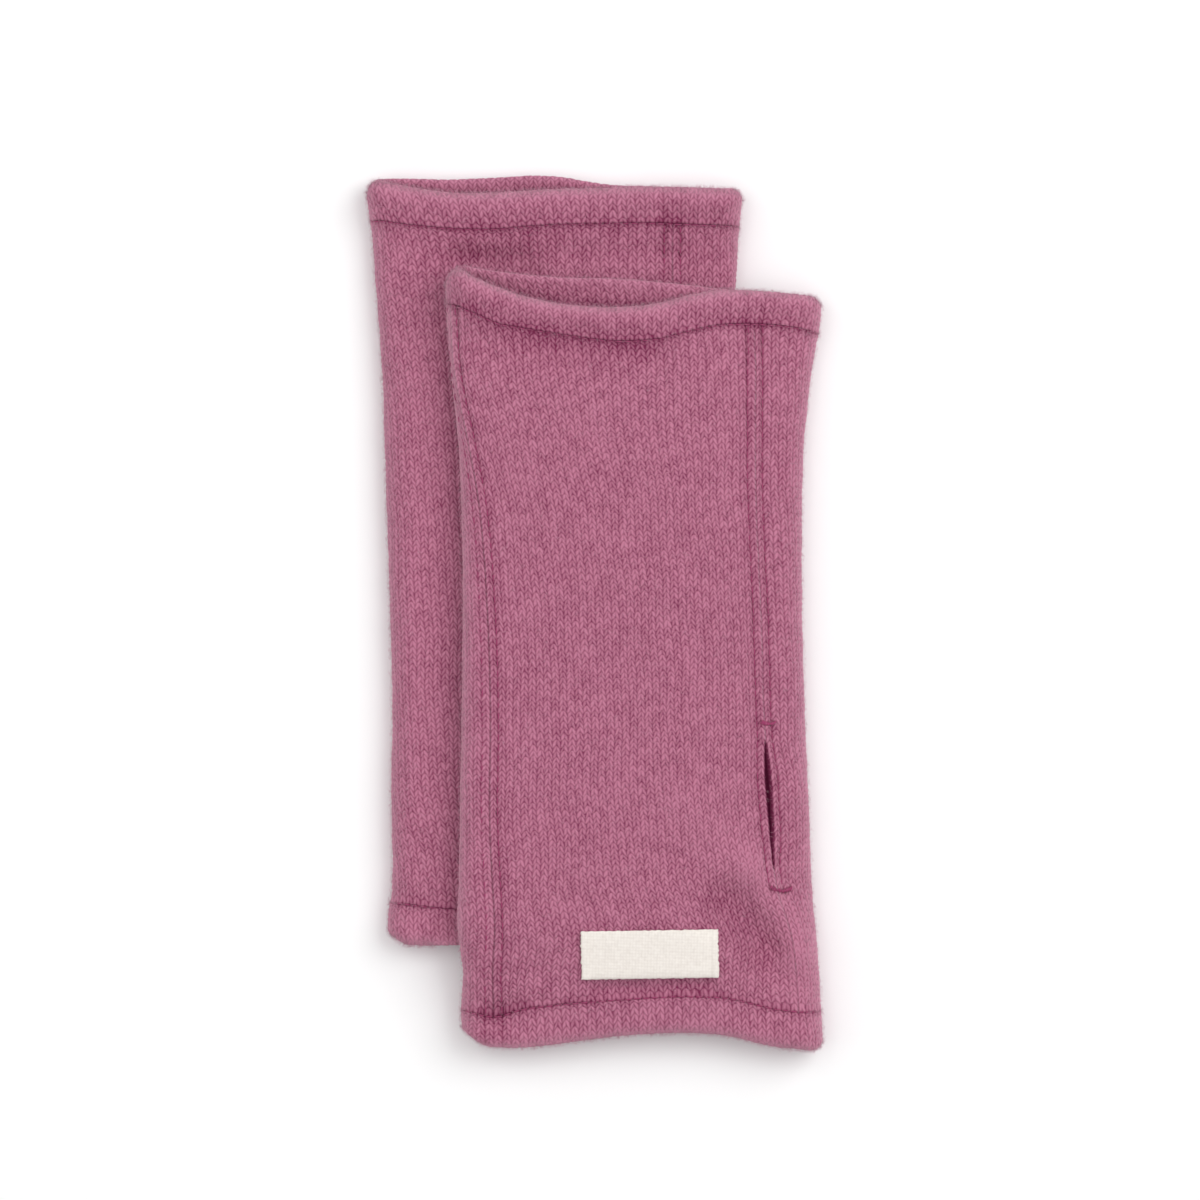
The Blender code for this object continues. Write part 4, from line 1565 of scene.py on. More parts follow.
@dataclass
class TurnedHem(ClothWork):
    """The panels' own ends, turned in and stitched through: a ring of double cloth."""

    end: End = End.ARM
    depth: float = 10.6
    wall: float = 3.6
    edge_reach: float = 2.1  # how far the round edge reaches from where the hem is flat
    flatter: float = 0.9  # the stitches' relief, stretched over the double cloth
    valley_reach: float = 4.2
    # The hem is plump in its middle and falls away at its edge.
    plump_at: float = 3.8
    plump: Pair = (0.8, 3.0)
    edge_fall: Pair = (-0.5, 1.6)
    curl: Pair = (4.6, 2.6)  # how far the under layer curls up, at left and right
    curl_ends: Pair = (0.06, 0.12)
    curl_power: float = 1.3
    seam_splay: float = 0.35  # the seam's turnings spread in the hem
    # Painted highlight along the turned edge, and painted sheen there, less on the under layer.
    rim_light: Pair = (-0.14, 3.0)
    rim_sheen: Pair = (0.55, 2.0)
    rim_sheen_under: float = 0.3
    # The least share of the painted shade by the arm hem's stitch line.
    sunk_least: float = 0.35
    inner_shade: Pair = (0.20, 3.2)  # painted shade on the under layer's inside, where the upper layer covers it
    inner_shade_at: float = 8.0
    relief_salt: int = 5
    tone_salt: int = 9

    def __post_init__(self) -> None:
        """Count the ring's columns, and those of the panel that starts at the plain seam."""
        self.wales = JERSEY.back_wales + JERSEY.palm_wales
        self.columns = self.wales * JERSEY.columns
        self.first_columns = self.tube.first_wales * JERSEY.columns

    def profile(self) -> TwoArrays:
        """Draw the section from the outer stitch line round the edge to the inner stitch line.

        Returns:
            Each row's distance from the edge and in from the skin.
        """
        flat = self.depth - self.edge_reach
        turn = math.pi * (self.wall / 2.0 + self.edge_reach) / 2.0
        whole = 2.0 * flat + turn
        rows = round(whole / JERSEY.course_pitch) * JERSEY.rows
        at = np.linspace(0.0, whole, rows + 1)
        bend = clamp((at - flat) / turn) * math.pi
        straight = np.maximum(flat - at, 0.0) + np.maximum(at - flat - turn, 0.0)
        from_edge = self.edge_reach * (1.0 - np.sin(bend)) + straight
        return from_edge, self.wall / 2.0 * (1.0 - np.cos(bend))

    def build(self, name: str) -> Object:
        """Make the hem.

        Args:
            name: the object's name.

        Returns:
            The hem, a closed ring.
        """
        laid, edge_off, inside = self.lay_ring()
        u, v = laid.column / JERSEY.columns, np.abs(laid.row) / JERSEY.rows
        outer = ease((self.wall / 2.0 - inside) / (self.wall / 2.0))
        relief = self.drawn_level(self.stitch_relief(laid, u, v) * self.flatter, laid.from_end)
        seams, painted_shade = self.beside_seams(laid, self.seam_distances(laid))
        proud = (seams * outer + self.shape(laid, edge_off) * outer * laid.level) * laid.bare
        moved = laid.points + laid.normals * (proud - inside)[..., None]
        moved = moved + self.off_yarn(laid, edge_off, inside) * relief[..., None]
        moved[..., 2] += self.lifted(laid)
        upper = np.where(np.mod(laid.around, 2.0) <= 1.0, 1.0, 0.0)
        # Painted shade by the stitch lines, and a painted highlight along the turned edge.
        painted_shade = painted_shade + self.by_lines(laid) + mound(edge_off, *self.rim_light)
        # Painted shade where the arm end sinks to its stitch line.
        if self.end is End.ARM:
            sunk = self.sunk_least + (1.0 - self.sunk_least) * self.sunk(laid.x)
            painted_shade = painted_shade + mound(laid.from_line, self.tube.sunk_shade, self.sunk_reach) * sunk
        # Painted shade inside the under layer, where the upper layer covers it.
        within = mound(edge_off - self.inner_shade_at, *self.inner_shade)
        within = within * (1.0 - upper) * (1.0 - outer)
        # Painted sheen on the folded sides and along the turned edge.
        rim_sheen = self.rim_sheen_under + (1.0 - self.rim_sheen_under) * upper
        nap = np.maximum(self.side_sheen(laid.around), mound(edge_off, *self.rim_sheen) * rim_sheen)
        rows = len(laid.row)
        parts = MeshParts(
            moved.reshape(-1, 3),
            self.ring_faces(rows),
            uv=np.stack([u, laid.row / JERSEY.rows], axis=-1).reshape(-1, 2),
            hollow_shade=np.clip(painted_shade * outer + within, *self.shade_range).ravel(),
            tone=(self.tone_spread * self.unevenness(u, v, self.tone_salt)).ravel(),
            nap=nap.ravel(),
            flat_from=(rows - 1) * self.columns,
            wrap=float(self.wales),
        )
        return add_object(name, parts, [self.face, self.back])

    def lay_ring(self) -> tuple[Laid, Array, Array]:
        """Lay the ring's stitches along its section.

        Returns:
            The laid grid, and each place's distance from the edge and in from the skin.
        """
        from_edge, inward = self.profile()
        rows = len(from_edge)
        row, column = np.meshgrid(np.arange(rows), np.arange(self.columns), indexing="ij")
        from_end = np.minimum(row, rows - 1 - row) / JERSEY.rows
        climb = JERSEY.climb(column) * float(self.end) * ease(from_end / self.climb_in)
        at_row = np.clip(row + climb * JERSEY.rows, 0, rows - 1)
        edge_off = np.interp(at_row, np.arange(rows), from_edge)
        inside = np.interp(at_row, np.arange(rows), inward)
        to_edge = edge_off / self.depth
        along = 2.0 - to_edge if self.end is End.ARM else to_edge - 1.0
        around = self.column_places(along, column)
        laid = self.lay(row * int(self.end), column, from_end, along, around)
        return laid, edge_off, inside

    def column_places(self, along: Array, column: Array) -> Array:
        """Match the ring's columns to both panels' wales.

        Args:
            along: places along the tube.
            column: the ring's columns.

        Returns:
            Places round the tube.
        """
        split, rest = self.first_columns, self.columns - self.first_columns
        lattices = self.tube.lattices
        near = lattices[Run.PLAIN_TO_THUMB].at(along, clamp(column / split))
        far = lattices[Run.THUMB_TO_PLAIN].at(along, clamp((column - split) / rest))
        return np.where(column < split, near, far)

    def seam_distances(self, laid: Laid) -> dict[Seam, Array]:
        """How far each place is from the seams, which run on through the hem.

        Args:
            laid: the laid grid.

        Returns:
            The distances, drawn in a little where the turnings spread.
        """
        pitch = self.tube.lattices[Run.WHOLE_TUBE].width_at(laid.along) / self.columns
        in_hem = clamp(np.maximum(laid.along - 1.0, -laid.along))
        found = {}
        for seam, at in ((Seam.PLAIN, 0), (Seam.THUMB, self.first_columns)):
            off = np.abs(laid.column - at)
            off = np.minimum(off, self.columns - off)
            found[seam] = off * pitch / (1.0 + self.seam_splay * in_hem)
        return found

    def shape(self, laid: Laid, edge_off: Array) -> Array:
        """Shape the outer ply: a valley by the stitch line, plump, then falling away.

        Args:
            laid: the laid grid.
            edge_off: each place's distance from the edge.

        Returns:
            Relief.
        """
        valley = (self.arm_valley if self.end is End.ARM else self.hand_valley)[0]
        by_line = mound(laid.from_line, *self.line_groove)
        by_line = by_line + mound(laid.from_line, valley, self.valley_reach)
        plump = mound(edge_off - self.plump_at, *self.plump)
        return by_line + plump + mound(edge_off, *self.edge_fall)

    def off_yarn(self, laid: Laid, edge_off: Array, inside: Array) -> Array:
        """Find the way out of the cloth, which turns over at the round edge.

        Args:
            laid: the laid grid.
            edge_off, inside: each place's distance from the edge and in from the skin.

        Returns:
            Unit directions.
        """
        up = 1.0 - inside / (self.wall / 2.0)
        on = clamp(1.0 - edge_off / self.edge_reach) * float(self.end)
        lengthways = self.tube.lengthways(laid.along, laid.around, 1e-3)
        return unit(laid.normals * up[..., None] + lengthways * on[..., None])

    def lifted(self, laid: Laid) -> Array:
        """How far the under layer's hem curls up at the arm end, most by the plain seam.

        Args:
            laid: the laid grid.

        Returns:
            The rise of each place.
        """
        if self.end is End.HAND:
            return np.zeros_like(laid.along)
        share, side = self.tube.across(np.mod(laid.around, 2.0))
        most = self.curl[0] + (self.curl[1] - self.curl[0]) * share
        ends = ease(share / self.curl_ends[0]) * ease((1.0 - share) / self.curl_ends[1])
        out = clamp(laid.along - 1.0) ** self.curl_power
        return most * ends * clamp(-side) * out

    def ring_faces(self, rows: int) -> Faces:
        """List the ring's faces, closed round the tube and across the stitch line.

        Args:
            rows: rows of points in the section.

        Returns:
            The faces.
        """
        r, c = np.meshgrid(np.arange(rows), np.arange(self.columns), indexing="ij")
        here, after = r * self.columns, (r + 1) % rows * self.columns
        beside = (c + 1) % self.columns
        faces = np.stack([here + c, here + beside, after + beside, after + c], axis=-1)
        faces = faces if self.end is End.ARM else faces[..., ::-1]
        return faces.reshape(-1, 4).tolist()


# Sewing


@dataclass
class Thread:
    """Sewing thread as short closed tubes, many to a piece."""

    radius: float = 0.21
    sides: int = 5
    ends: float = 0.75  # how thin it gets at its ends, over the outer quarters

    def build(self, name: str, paths: Array, normals: Array, material: Material) -> Object:
        """Sweep a closed tube along every stitch and make them one piece.

        Args:
            name: the object's name.
            paths: stitches by points by xyz.
            normals: the cloth's outward directions there.
            material: the thread.

        Returns:
            The piece.
        """
        many, steps, _ = paths.shape
        ahead = unit(np.gradient(paths, axis=1))
        side = unit(np.cross(ahead, normals))
        up = np.cross(side, ahead)
        turn = np.arange(self.sides) * TURN / self.sides
        ring = side[:, :, None] * np.cos(turn)[:, None] + up[:, :, None] * np.sin(turn)[:, None]
        thin = (self.ends, 1.0, 1.0, self.ends)
        radius = self.radius * np.interp(np.linspace(0.0, 1.0, steps), (0.0, 0.25, 0.75, 1.0), thin)
        points = paths[:, :, None] + ring * radius[None, :, None, None]
        k, s = np.meshgrid(np.arange(steps - 1) * self.sides, np.arange(self.sides), indexing="ij")
        beside = (s + 1) % self.sides
        one = np.stack([k + s, k + beside, k + self.sides + beside, k + self.sides + s], axis=-1)
        first = np.arange(many) * steps * self.sides
        faces = (one.reshape(1, -1, 4) + first[:, None, None]).reshape(-1, 4).tolist()
        near = np.arange(self.sides)[::-1] + first[:, None]
        far = np.arange(self.sides) + (steps - 1) * self.sides + first[:, None]
        faces += near.tolist() + far.tolist()
        parts = MeshParts(points.reshape(-1, 3), faces)
        return add_object(name, parts, [material])


@dataclass
class StitchLines:
    """The machine stitching of one warmer: beside both seams and round both hems."""

    tube: Tube
    thread: Material
    stitch: float = 2.1
    seam_gap: float = 0.75
    hem_gap: float = 0.35
    offset: float = 2.25  # from a seam's join to its topstitch
    below_slit: float = 4.5  # how far the thumb seam's topstitch runs on below the slit
    sunk: Pair = (0.45, 0.62)  # into the cloth, where that is covered and where it is free
    arm_sunk: float = 0.92  # and so much more round the arm hem, and round the hand hem
    hand_sunk: float = 0.10
    uneven: float = 0.10
    shape: tuple[float, ...] = (-0.30, 0.05, 0.10, 0.05, -0.30)  # a stitch dives at both ends

    def along_seam(self, seam: Seam, side: int) -> TwoArrays:
        """Lay the stitches beside a seam from stitch line to stitch line.

        Args:
            seam: which seam.
            side: 1 past the seam round the tube, -1 before it.

        Returns:
            Paths and normals, stitches by points.
        """
        starts_there = (seam is Seam.PLAIN) == (side > 0)
        lattice = self.tube.lattices[Run.PLAIN_TO_THUMB if starts_there else Run.THUMB_TO_PLAIN]
        count = int(self.tube.length / (self.stitch + self.seam_gap))
        along = self.steps(count, self.seam_gap) / count
        share = self.offset / lattice.width_at(along)
        share = share if side > 0 else 1.0 - share
        if seam is Seam.THUMB:
            sewn = self.tube.mean_y(along[:, 0]) > self.tube.slit.foot - self.below_slit
            along, share = along[sewn], share[sewn]
        return self.lay(along, lattice.at(along, share), 0.0)

    def round_hem(self, end: End) -> TwoArrays:
        """Lay the stitches round a hem's stitch line.

        Args:
            end: which hem.

        Returns:
            Paths and normals, stitches by points.
        """
        lattice = self.tube.lattices[Run.WHOLE_TUBE]
        at, deeper = (1.0, self.arm_sunk) if end is End.ARM else (0.0, self.hand_sunk)
        width = float(lattice.width_at(np.array(at)))
        count = int(width / (self.stitch + self.hem_gap))
        share = self.steps(count, self.hem_gap) / count
        along = np.full_like(share, at)
        return self.lay(along, lattice.at(along, share), deeper)

    def steps(self, count: int, gap: float) -> Array:
        """The points of each stitch, counted in stitches along the line."""
        within = np.linspace(-0.5, 0.5, len(self.shape)) * (self.stitch / (self.stitch + gap))
        return np.arange(count)[:, None] + 0.5 + within[None]

    def lay(self, along: Array, around: Array, deeper: float) -> TwoArrays:
        """Lay paths into the cloth's groove.

        Args:
            along, around: places along the tube and round it.
            deeper: how much more they sink where the cloth is free.

        Returns:
            Paths and normals.
        """
        points = self.tube.skin(along, around)
        normals = self.tube.outward(np.clip(along, 0.001, 0.999), around)
        shown = self.tube.bare(points) * clamp(normals[..., 2]) ** 2
        uneven = np.random.default_rng(len(along)).normal(0.0, self.uneven, (len(along), 1))
        covered, free = self.sunk
        sunk = covered + (free - covered + deeper * shown) * shown
        height = np.array(self.shape)[None, :] + uneven - sunk
        return points + normals * height[..., None], normals

    def build(self, name: str) -> Object:
        """Make all stitch lines of the warmer.

        Args:
            name: the object's name.

        Returns:
            The piece.
        """
        lines = [self.round_hem(End.ARM), self.round_hem(End.HAND)]
        lines += [self.along_seam(seam, side) for seam in Seam for side in (-1, 1)]
        paths, normals = (np.concatenate([line[part] for line in lines]) for part in (0, 1))
        return Thread().build(name, paths, normals, self.thread)


@dataclass
class Bartacks:
    """The dense bars of thread across the ends of a thumb slit, each a row of slanting loops."""

    tube: Tube
    thread: Material
    bars: Table  # y, and from and to which distance round the tube from the seam
    seed: int = 41
    loops: int = 17
    slant: Pair = (-0.2, 0.55)
    tall: Pair = (0.36, 0.78)
    sag: float = 0.12  # of the bar's length, at its middle
    height: Pair = (-0.16, 0.12)
    shape: tuple[float, ...] = (-0.25, 0.28, 0.42, 0.28, -0.25)

    def build(self, name: str) -> Object:
        """Make the bars as one piece.

        Args:
            name: the object's name.

        Returns:
            The piece.
        """
        draw = np.random.default_rng(self.seed)
        step = np.linspace(-1.0, 1.0, len(self.shape))
        paths, outs = [], []
        for y, start, end in self.bars:
            for at in np.linspace(0.0, 1.0, self.loops):
                slant, tall = draw.uniform(*self.slant), draw.uniform(*self.tall)
                sag = self.sag * (end - start) * (1.0 - (2.0 * at - 1.0) ** 2)
                along = (y - self.tube.hand_line + step * tall - sag) / self.tube.length
                around = self.around(along, start + (end - start) * at + step * slant)
                normals = self.tube.outward(along, around)
                height = np.array(self.shape) + draw.uniform(*self.height)
                paths.append(self.tube.skin(along, around) + normals * height[:, None])
                outs.append(normals)
        return Thread().build(name, np.array(paths), np.array(outs), self.thread)

    def around(self, along: Array, distance: Array) -> Array:
        """Find places round the tube by their distance from the thumb seam.

        Args:
            along: places along the tube.
            distance: past the seam, or before it where negative.

        Returns:
            Places round the tube.
        """
        lattice = self.tube.lattices[Run.THUMB_TO_PLAIN]
        width = lattice.width_at(along)
        join = lattice.at(along, np.zeros_like(along))
        slope = (lattice.at(along, 2.0 / width) - join) / 2.0
        beyond = lattice.at(along, clamp(distance / width))
        return np.where(distance < 0.0, join + slope * distance, beyond)


# Label


@dataclass
class WovenLabel:
    """A plain woven tape, its two ends folded under, sewn to the back panel at those ends."""

    tube: Tube
    tape: Material
    centre: Pair = (15.4, -95.4)
    size: Pair = (38.4, 13.6)
    turn: float = 0.9  # degrees
    gap: float = 0.30
    thickness: float = 0.38
    fold: float = 1.7  # the tape turned under at each end
    fold_rise: float = 0.34
    fold_edge: float = 0.25
    round_ends: Pair = (-0.22, 0.22)
    round_sides: Pair = (-0.10, 0.2)
    wave: Pair = (0.06, 13.0)
    wave_in: float = 4.0
    rise: float = 0.05
    fray_bend: float = 1.6
    fray: Pair = (0.22, 0.10)  # at the ends and at the sides
    fray_in: float = 0.3
    cells: tuple[int, int] = (96, 34)
    seed: int = 61

    @property
    def flat(self) -> Pair:
        """The tape's flat cut in metres, its folded ends included."""
        return (self.size[0] + 2.0 * self.fold) * MM, self.size[1] * MM

    def height(self, u: Array, v: Array) -> Array:
        """Shape the tape's upper side.

        Args:
            u, v: places along and across the tape, from its middle.

        Returns:
            Height above the cloth.
        """
        from_end = self.size[0] / 2.0 - np.abs(u)
        from_side = self.size[1] / 2.0 - np.abs(v)
        folded = self.fold_rise * ease((self.fold - from_end) / self.fold_edge + 0.5)
        edges = mound(from_end, *self.round_ends) + mound(from_side, *self.round_sides)
        height, bend = self.wave
        wave = height * Wobble(self.seed, bend).at(u, v) * ease(from_end / self.wave_in)
        return self.gap + self.thickness + folded + edges + wave + self.rise

    def place(self, u: Array, v: Array) -> TwoArrays:
        """Turn the tape and set it in its place, its border a little frayed.

        Args:
            u, v: places along and across the tape, from its middle.

        Returns:
            The x and y of each place.
        """
        fray = Wobble(self.seed + 2, self.fray_bend)
        none = np.zeros_like(u)
        at_end = np.abs(u) > self.size[0] / 2.0 - self.fray_in
        at_side = np.abs(v) > self.size[1] / 2.0 - self.fray_in
        wide = u + self.fray[0] * fray.at(none, v) * at_end
        tall = v + self.fray[1] * fray.at(u, none) * at_side
        angle = math.radians(self.turn)
        x = self.centre[0] + wide * math.cos(angle) - tall * math.sin(angle)
        y = self.centre[1] + wide * math.sin(angle) + tall * math.cos(angle)
        return x, y

    def build(self, name: str) -> Object:
        """Make the label.

        Args:
            name: the object's name.

        Returns:
            The label, a closed sheet.
        """
        columns, rows = self.cells[0] + 1, self.cells[1] + 1
        u, v = np.meshgrid(
            np.linspace(-0.5, 0.5, columns) * self.size[0],
            np.linspace(-0.5, 0.5, rows) * self.size[1],
        )
        x, y = self.place(u, v)
        base = self.tube.upper_height(x, y, self.tube.along_at(x, y))
        layers = [np.stack([x, y, base + high], axis=-1) for high in (self.height(u, v), self.gap)]
        first = rows * columns
        fine = np.arange(first).reshape(rows, columns)
        faces = quads(0, rows, columns) + quads(first, rows, columns, flip=True)
        for border in (fine[0], fine[-1][::-1], fine[::-1, 0], fine[:, -1]):
            for a, b in zip(border[:-1].tolist(), border[1:].tolist()):
                faces.append((b, a, a + first, b + first))
        points = np.concatenate([layer.reshape(-1, 3) for layer in layers])
        uv = np.tile(np.stack([u, v], axis=-1).reshape(-1, 2), (2, 1))
        return add_object(name, MeshParts(points, faces, uv=uv), [self.tape])


# Nap


@dataclass
class Nap:
    """Single wool fibres that stand off the cloth's bare sides, each a fine closed cone.

    Half of them stand on the turned edges and the folded sides, where they show against what is
    behind.
    """

    tube: Tube
    wool: Material
    count: int
    seed: int
    length: Pair = (0.6, 1.7)
    radius: float = 0.032
    rooted: float = 0.3  # how deep a fibre starts in the cloth
    slope: Pair = (0.15, 0.75)  # how steeply it stands, against its length
    bend: float = 0.35
    bow: Triple = (0.5, 0.6, 0.8)  # its middle: out and up; its tip: up
    spare: int = 3  # spots drawn for each fibre, because covered ones are dropped
    past_lines: Pair = (-0.02, 1.02)
    bare_from: Pair = (0.2, 0.8)
    on_rims: float = 0.34
    on_sides: float = 0.22
    on_hems: float = 0.1
    hem_reach: float = 0.85
    side_spread: float = 0.035
    edge_reach: float = 2.1
    edge_drop: float = 1.8
    edge_tilt: Pair = (0.1, 1.7)

    def spots(self, draw: np.random.Generator) -> tuple[Array, Array, Array]:
        """Find where fibres stand and which way the cloth lies there.

        Args:
            draw: the source of chance.

        Returns:
            Roots, outward directions and directions along.
        """
        many = self.count * self.spare
        kind = draw.uniform(0.0, 1.0, many)
        along = draw.uniform(*self.past_lines, many)
        at_rim = kind < self.on_rims
        hem = (draw.uniform(0.0, 1.0, many) < self.on_hems) & ~at_rim
        reach = self.hem_reach
        in_hem = np.where(along > 0.5, 1.0, -reach) + draw.uniform(0.0, reach, many)
        along = np.where(hem, in_hem, along)
        arm = draw.uniform(0.0, 1.0, many) < 0.5
        along = np.where(at_rim, np.where(arm, 2.0, -1.0), along)
        share = draw.uniform(0.0, 1.0, many)
        around = np.mod(self.tube.lattices[Run.WHOLE_TUBE].at(along, share), 2.0)
        spot = draw.normal(0.0, self.side_spread, many) + (draw.uniform(0.0, 1.0, many) < 0.5)
        around = np.where(kind > 1.0 - self.on_sides, np.mod(spot, 2.0), around)
        skin = self.tube.skin(along, around)
        shown = self.tube.bare(skin) > draw.uniform(*self.bare_from, many)
        kept = (part[shown][: self.count] for part in (along, around, skin, at_rim, arm))
        along, around, skin, at_rim, arm = kept
        normals = self.tube.outward(np.clip(along, -0.99, 1.99), around)
        ahead = self.tube.lengthways(along, around, 0.01)
        ahead = np.where((at_rim & ~arm)[:, None], -ahead, ahead)
        tilt = np.where(at_rim, draw.uniform(*self.edge_tilt, len(along)), 0.0)[:, None]
        cos, sin = np.cos(tilt), np.sin(tilt)
        drop = self.edge_drop * (1.0 - cos)
        back = self.edge_reach * (1.0 - sin) * at_rim[:, None]
        root = skin - normals * drop - ahead * back
        return root, normals * cos + ahead * sin, ahead * cos - normals * sin

    def build(self, name: str) -> Object:
        """Make the fibres as one piece.

        Args:
            name: the object's name.

        Returns:
            The piece.
        """
        draw = np.random.default_rng(self.seed)
        roots, out, forward = self.spots(draw)
        many = len(roots)
        heading = draw.uniform(0.0, TURN, many)[:, None]
        flat = forward * np.cos(heading) + np.cross(forward, out) * np.sin(heading)
        span = draw.uniform(*self.length, many)[:, None]
        lift = draw.uniform(*self.slope, many)[:, None] * span
        across = np.cross(flat, out)
        bend = draw.normal(0.0, self.bend, (many, 1)) * across
        ahead, up, tip_up = self.bow
        middle = roots + flat * span * ahead + out * lift * up
        tip = roots + (flat + bend) * span + out * lift * tip_up
        corners = []
        for place, size in ((roots - out * self.rooted, 1.0), (middle, 0.8)):
            for angle in np.arange(3) * TURN / 3.0:
                corner = across * math.cos(angle) + out * math.sin(angle)
                corners.append(place + corner * self.radius * size)
        points = np.stack([*corners, tip], axis=1)
        one = (2, 1, 0), (0, 1, 4, 3), (1, 2, 5, 4), (2, 0, 3, 5), (3, 4, 6), (4, 5, 6), (5, 3, 6)
        faces = [tuple(c + 7 * i for c in face) for i in range(many) for face in one]
        return add_object(name, MeshParts(points.reshape(-1, 3), faces), [self.wool])


# The pair


def present(piece: Object, solid: str = "") -> None:
    """Attach a piece to the body it rides on, and hide the solid that it stands for.

    Args:
        piece: the piece.
        solid: the solid that it replaces, if there is one.
    """
    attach(piece, BODY)
    if solid:
        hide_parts(solid)


@dataclass
class Warmer:
    """One wrist warmer: two panels, two hems, its stitching, bartacks and nap."""

    tube: Tube
    finishes: Finishes
    seed: int
    fibres: int
    bars: Table
    hem_flat: float = 14.5  # the outer ply and the turn round the edge, which is what shows

    def build(self) -> list[Object]:
        """Make every piece of the warmer and attach it to the body.

        Returns:
            The pieces.
        """
        pieces = self.panels() + self.hems()
        name, thread = self.tube.name, self.finishes.thread
        sewing = [
            StitchLines(self.tube, thread).build(f"{name}_stitching"),
            Bartacks(self.tube, thread, self.bars).build(f"{name}_bartacks"),
            Nap(self.tube, self.finishes.fibre, self.fibres, self.seed + 90).build(f"{name}_nap"),
        ]
        for piece in sewing:
            present(piece)
        return pieces + sewing

    def shared(self, salt: int) -> dict:
        """What each cloth piece is given, its own seed included."""
        cloth = {"face": self.finishes.knit, "back": self.finishes.reverse}
        return {"tube": self.tube, "seed": self.seed + salt, "tube_seed": self.seed + 2, **cloth}

    def panels(self) -> list[Object]:
        """Make the two panels, first the one that starts at the plain seam.

        Returns:
            The panels.
        """
        order = [("back", JERSEY.back_wales), ("palm", JERSEY.palm_wales)]
        order = order if self.tube.on_top else order[::-1]
        made = []
        for salt, run, (label, wales) in zip((0, 20), Run, order):
            panel = KnitPanel(**self.shared(salt), run=run, wales=wales)
            made.append(panel.build(f"{self.tube.name}_{label}_cloth"))
            width = float(np.mean(self.tube.lattices[run].widths))
            self.declare(made[-1], f"{self.tube.name}_{label}_panel", self.tube.length)
        return made

    def hems(self) -> list[Object]:
        """Make the two hems.

        Returns:
            The hems.
        """
        made = []
        for end, salt, middle in ((End.ARM, 50, 1.5), (End.HAND, 70, -0.5)):
            name = f"{self.tube.name}_{end.name.lower()}_hem"
            made.append(TurnedHem(**self.shared(salt), end=end).build(f"{name}_cloth"))
            width = float(self.tube.lattices[Run.WHOLE_TUBE].width_at(np.array(middle)))
            self.declare(made[-1], name, self.hem_flat)
        return made

    def declare(self, piece: Object, solid: str, length: float) -> None:
        """Put a cloth piece in its solid's place.

        Args:
            piece: the cloth.
            solid: its solid's name.
            length: not used.
        """
        present(piece, solid)


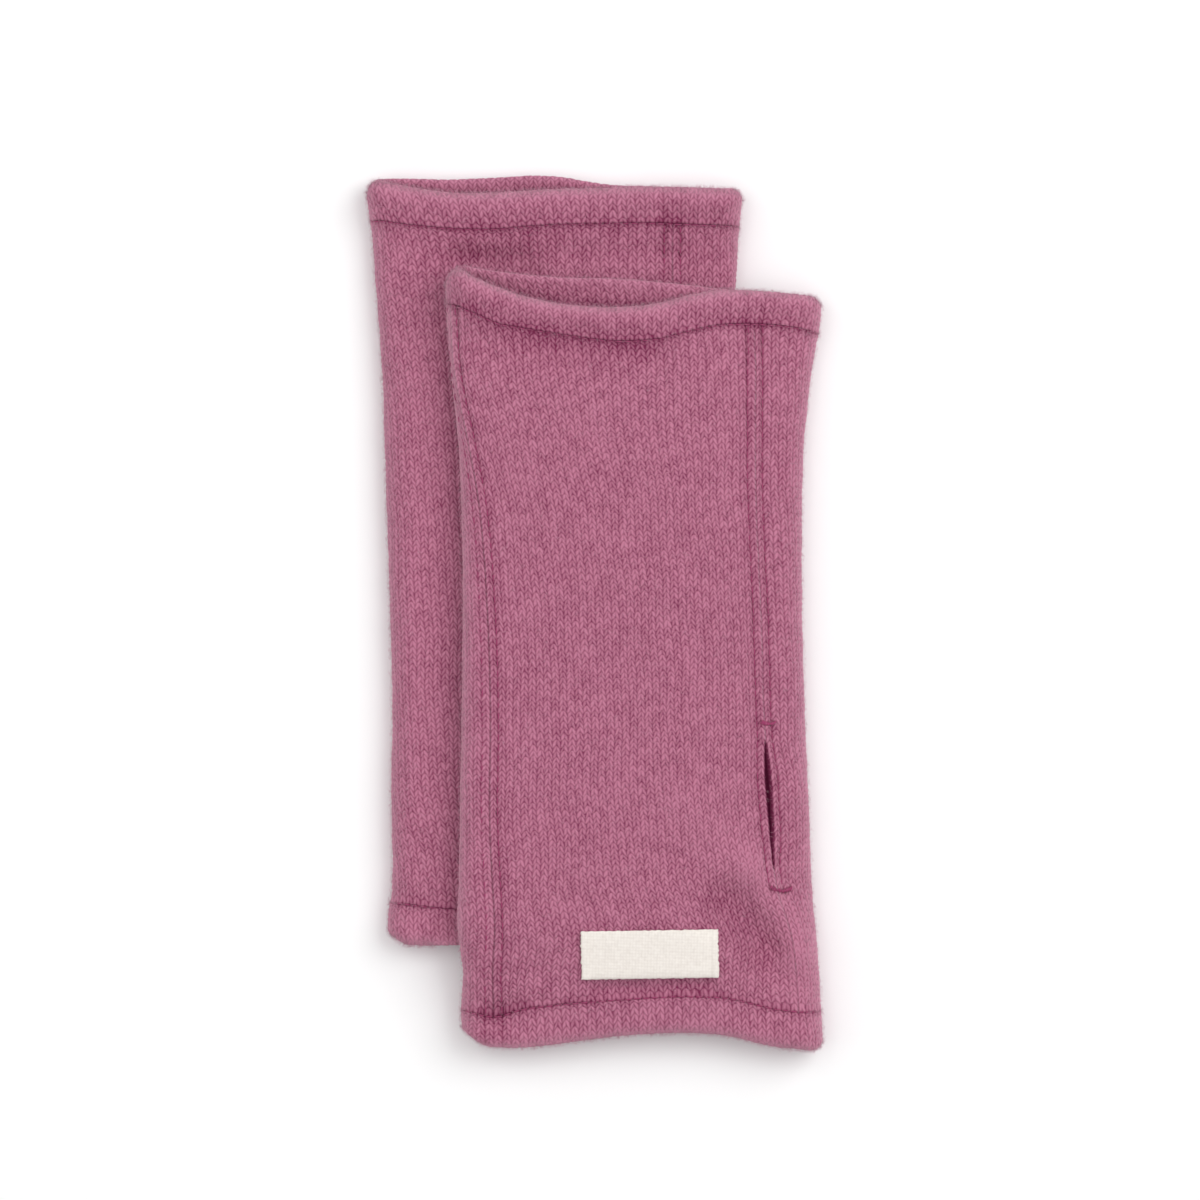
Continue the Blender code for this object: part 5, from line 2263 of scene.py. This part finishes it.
@dataclass
class Studio:
    """Plain pale floor, soft light and a long-lens camera straight above, as in the photograph."""

    frame_mm: float = 336.0
    centre_mm: Pair = (1.4, 3.6)
    camera_height: float = 2.6
    mid_height: float = 0.012
    sensor: float = 36.0
    view_end: float = 20.0
    board_mm: float = 6000.0
    board_drop_mm: float = 0.2
    world: float = 0.44
    # Square soft boxes: name, place in metres, side and power.
    boxes: tuple[tuple[str, Triple, float, float], ...] = (
        ("key", (0.85, 0.45, 1.2), 1.1, 11.2),
        ("fill", (-0.9, 0.2, 1.1), 1.4, 5.0),
        ("overhead", (0.0, 0.1, 1.9), 1.6, 7.5),
    )

    def build(self) -> None:
        """Make the floor, the lights and the camera."""
        self.floor()
        for name, place, size, power in self.boxes:
            self.light(name, place, size, power)
        scene = bpy.context.scene
        scene.world = scene.world or bpy.data.worlds.new("studio")
        scene.world.use_nodes = True
        background = scene.world.node_tree.nodes["Background"]
        feed(background, {"Color": (1.0, 1.0, 1.0, 1.0), "Strength": self.world})
        scene.view_settings.view_transform = "Standard"
        self.camera()

    def floor(self) -> None:
        """A board that fills the view."""
        half = self.board_mm / 2.0
        corners = ((-half, -half), (half, -half), (half, half), (-half, half))
        points = np.array([(x, y, -self.board_drop_mm) for x, y in corners])
        add_object("floor", MeshParts(points, [(0, 1, 2, 3)]), [PaleFloor().make()])

    def light(self, name: str, place: Triple, size: float, power: float) -> None:
        """Add a square soft box aimed at the pair.

        Args:
            name: its name.
            place: where it stands, in metres.
            size: its side, in metres.
            power: in watts.
        """
        data = bpy.data.lights.new(name, "AREA")
        data.energy = power
        data.size = size
        made = bpy.data.objects.new(name, data)
        made.location = place
        made.rotation_euler = (-made.location.normalized()).to_track_quat("-Z", "Y").to_euler()
        bpy.context.scene.collection.objects.link(made)

    def camera(self) -> None:
        """The camera, straight down, its lens set so that the frame is the photograph's width."""
        data = bpy.data.cameras.new("camera")
        data.sensor_width = self.sensor
        data.lens = self.sensor * (self.camera_height - self.mid_height) / (self.frame_mm * MM)
        data.clip_end = self.view_end
        made = bpy.data.objects.new("camera", data)
        made.location = (self.centre_mm[0] * MM, self.centre_mm[1] * MM, self.camera_height)
        bpy.context.scene.collection.objects.link(made)
        bpy.context.scene.camera = made


def main() -> None:
    """Build the pair and its studio, and log each piece's faces."""
    logging.basicConfig(level=logging.INFO, format="%(name)s: %(message)s")
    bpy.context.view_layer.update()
    finishes = Finishes.make()
    shape = (LOW_SECTIONS, LOW_ARM_END, LOW_HAND_END, LOW_FOLDS)
    slit = Slit(foot=-45.0, widest=-20.0, head=-9.0)
    low = Tube("low", *shape, slit, on_top=False, sunk_shade=0.10)
    shape = (TOP_SECTIONS, TOP_ARM_END, TOP_HAND_END, TOP_FOLDS)
    slit = Slit(foot=-71.5, widest=-46.0, head=-36.2)
    top = Tube("top", *shape, slit, on_top=True, sunk_shade=0.20)
    low_bars = ((-3.0, -2.2, 2.2), (-50.0, -2.2, 2.2))
    top_bars = ((-30.4, -0.9, 3.0), (-76.4, -2.3, 4.7))
    pieces = Warmer(low, finishes, seed=200, fibres=8500, bars=low_bars).build()
    pieces += Warmer(top, finishes, seed=500, fibres=17000, bars=top_bars).build()
    label = WovenLabel(top, finishes.tape)
    pieces.append(label.build("plain_label"))
    present(pieces[-1], "top_label")
    label.flat
    Studio().build()
    for piece in pieces:
        log.info("%s: %d faces", piece.name, len(piece.data.polygons))


if __name__ == "__main__":
    main()
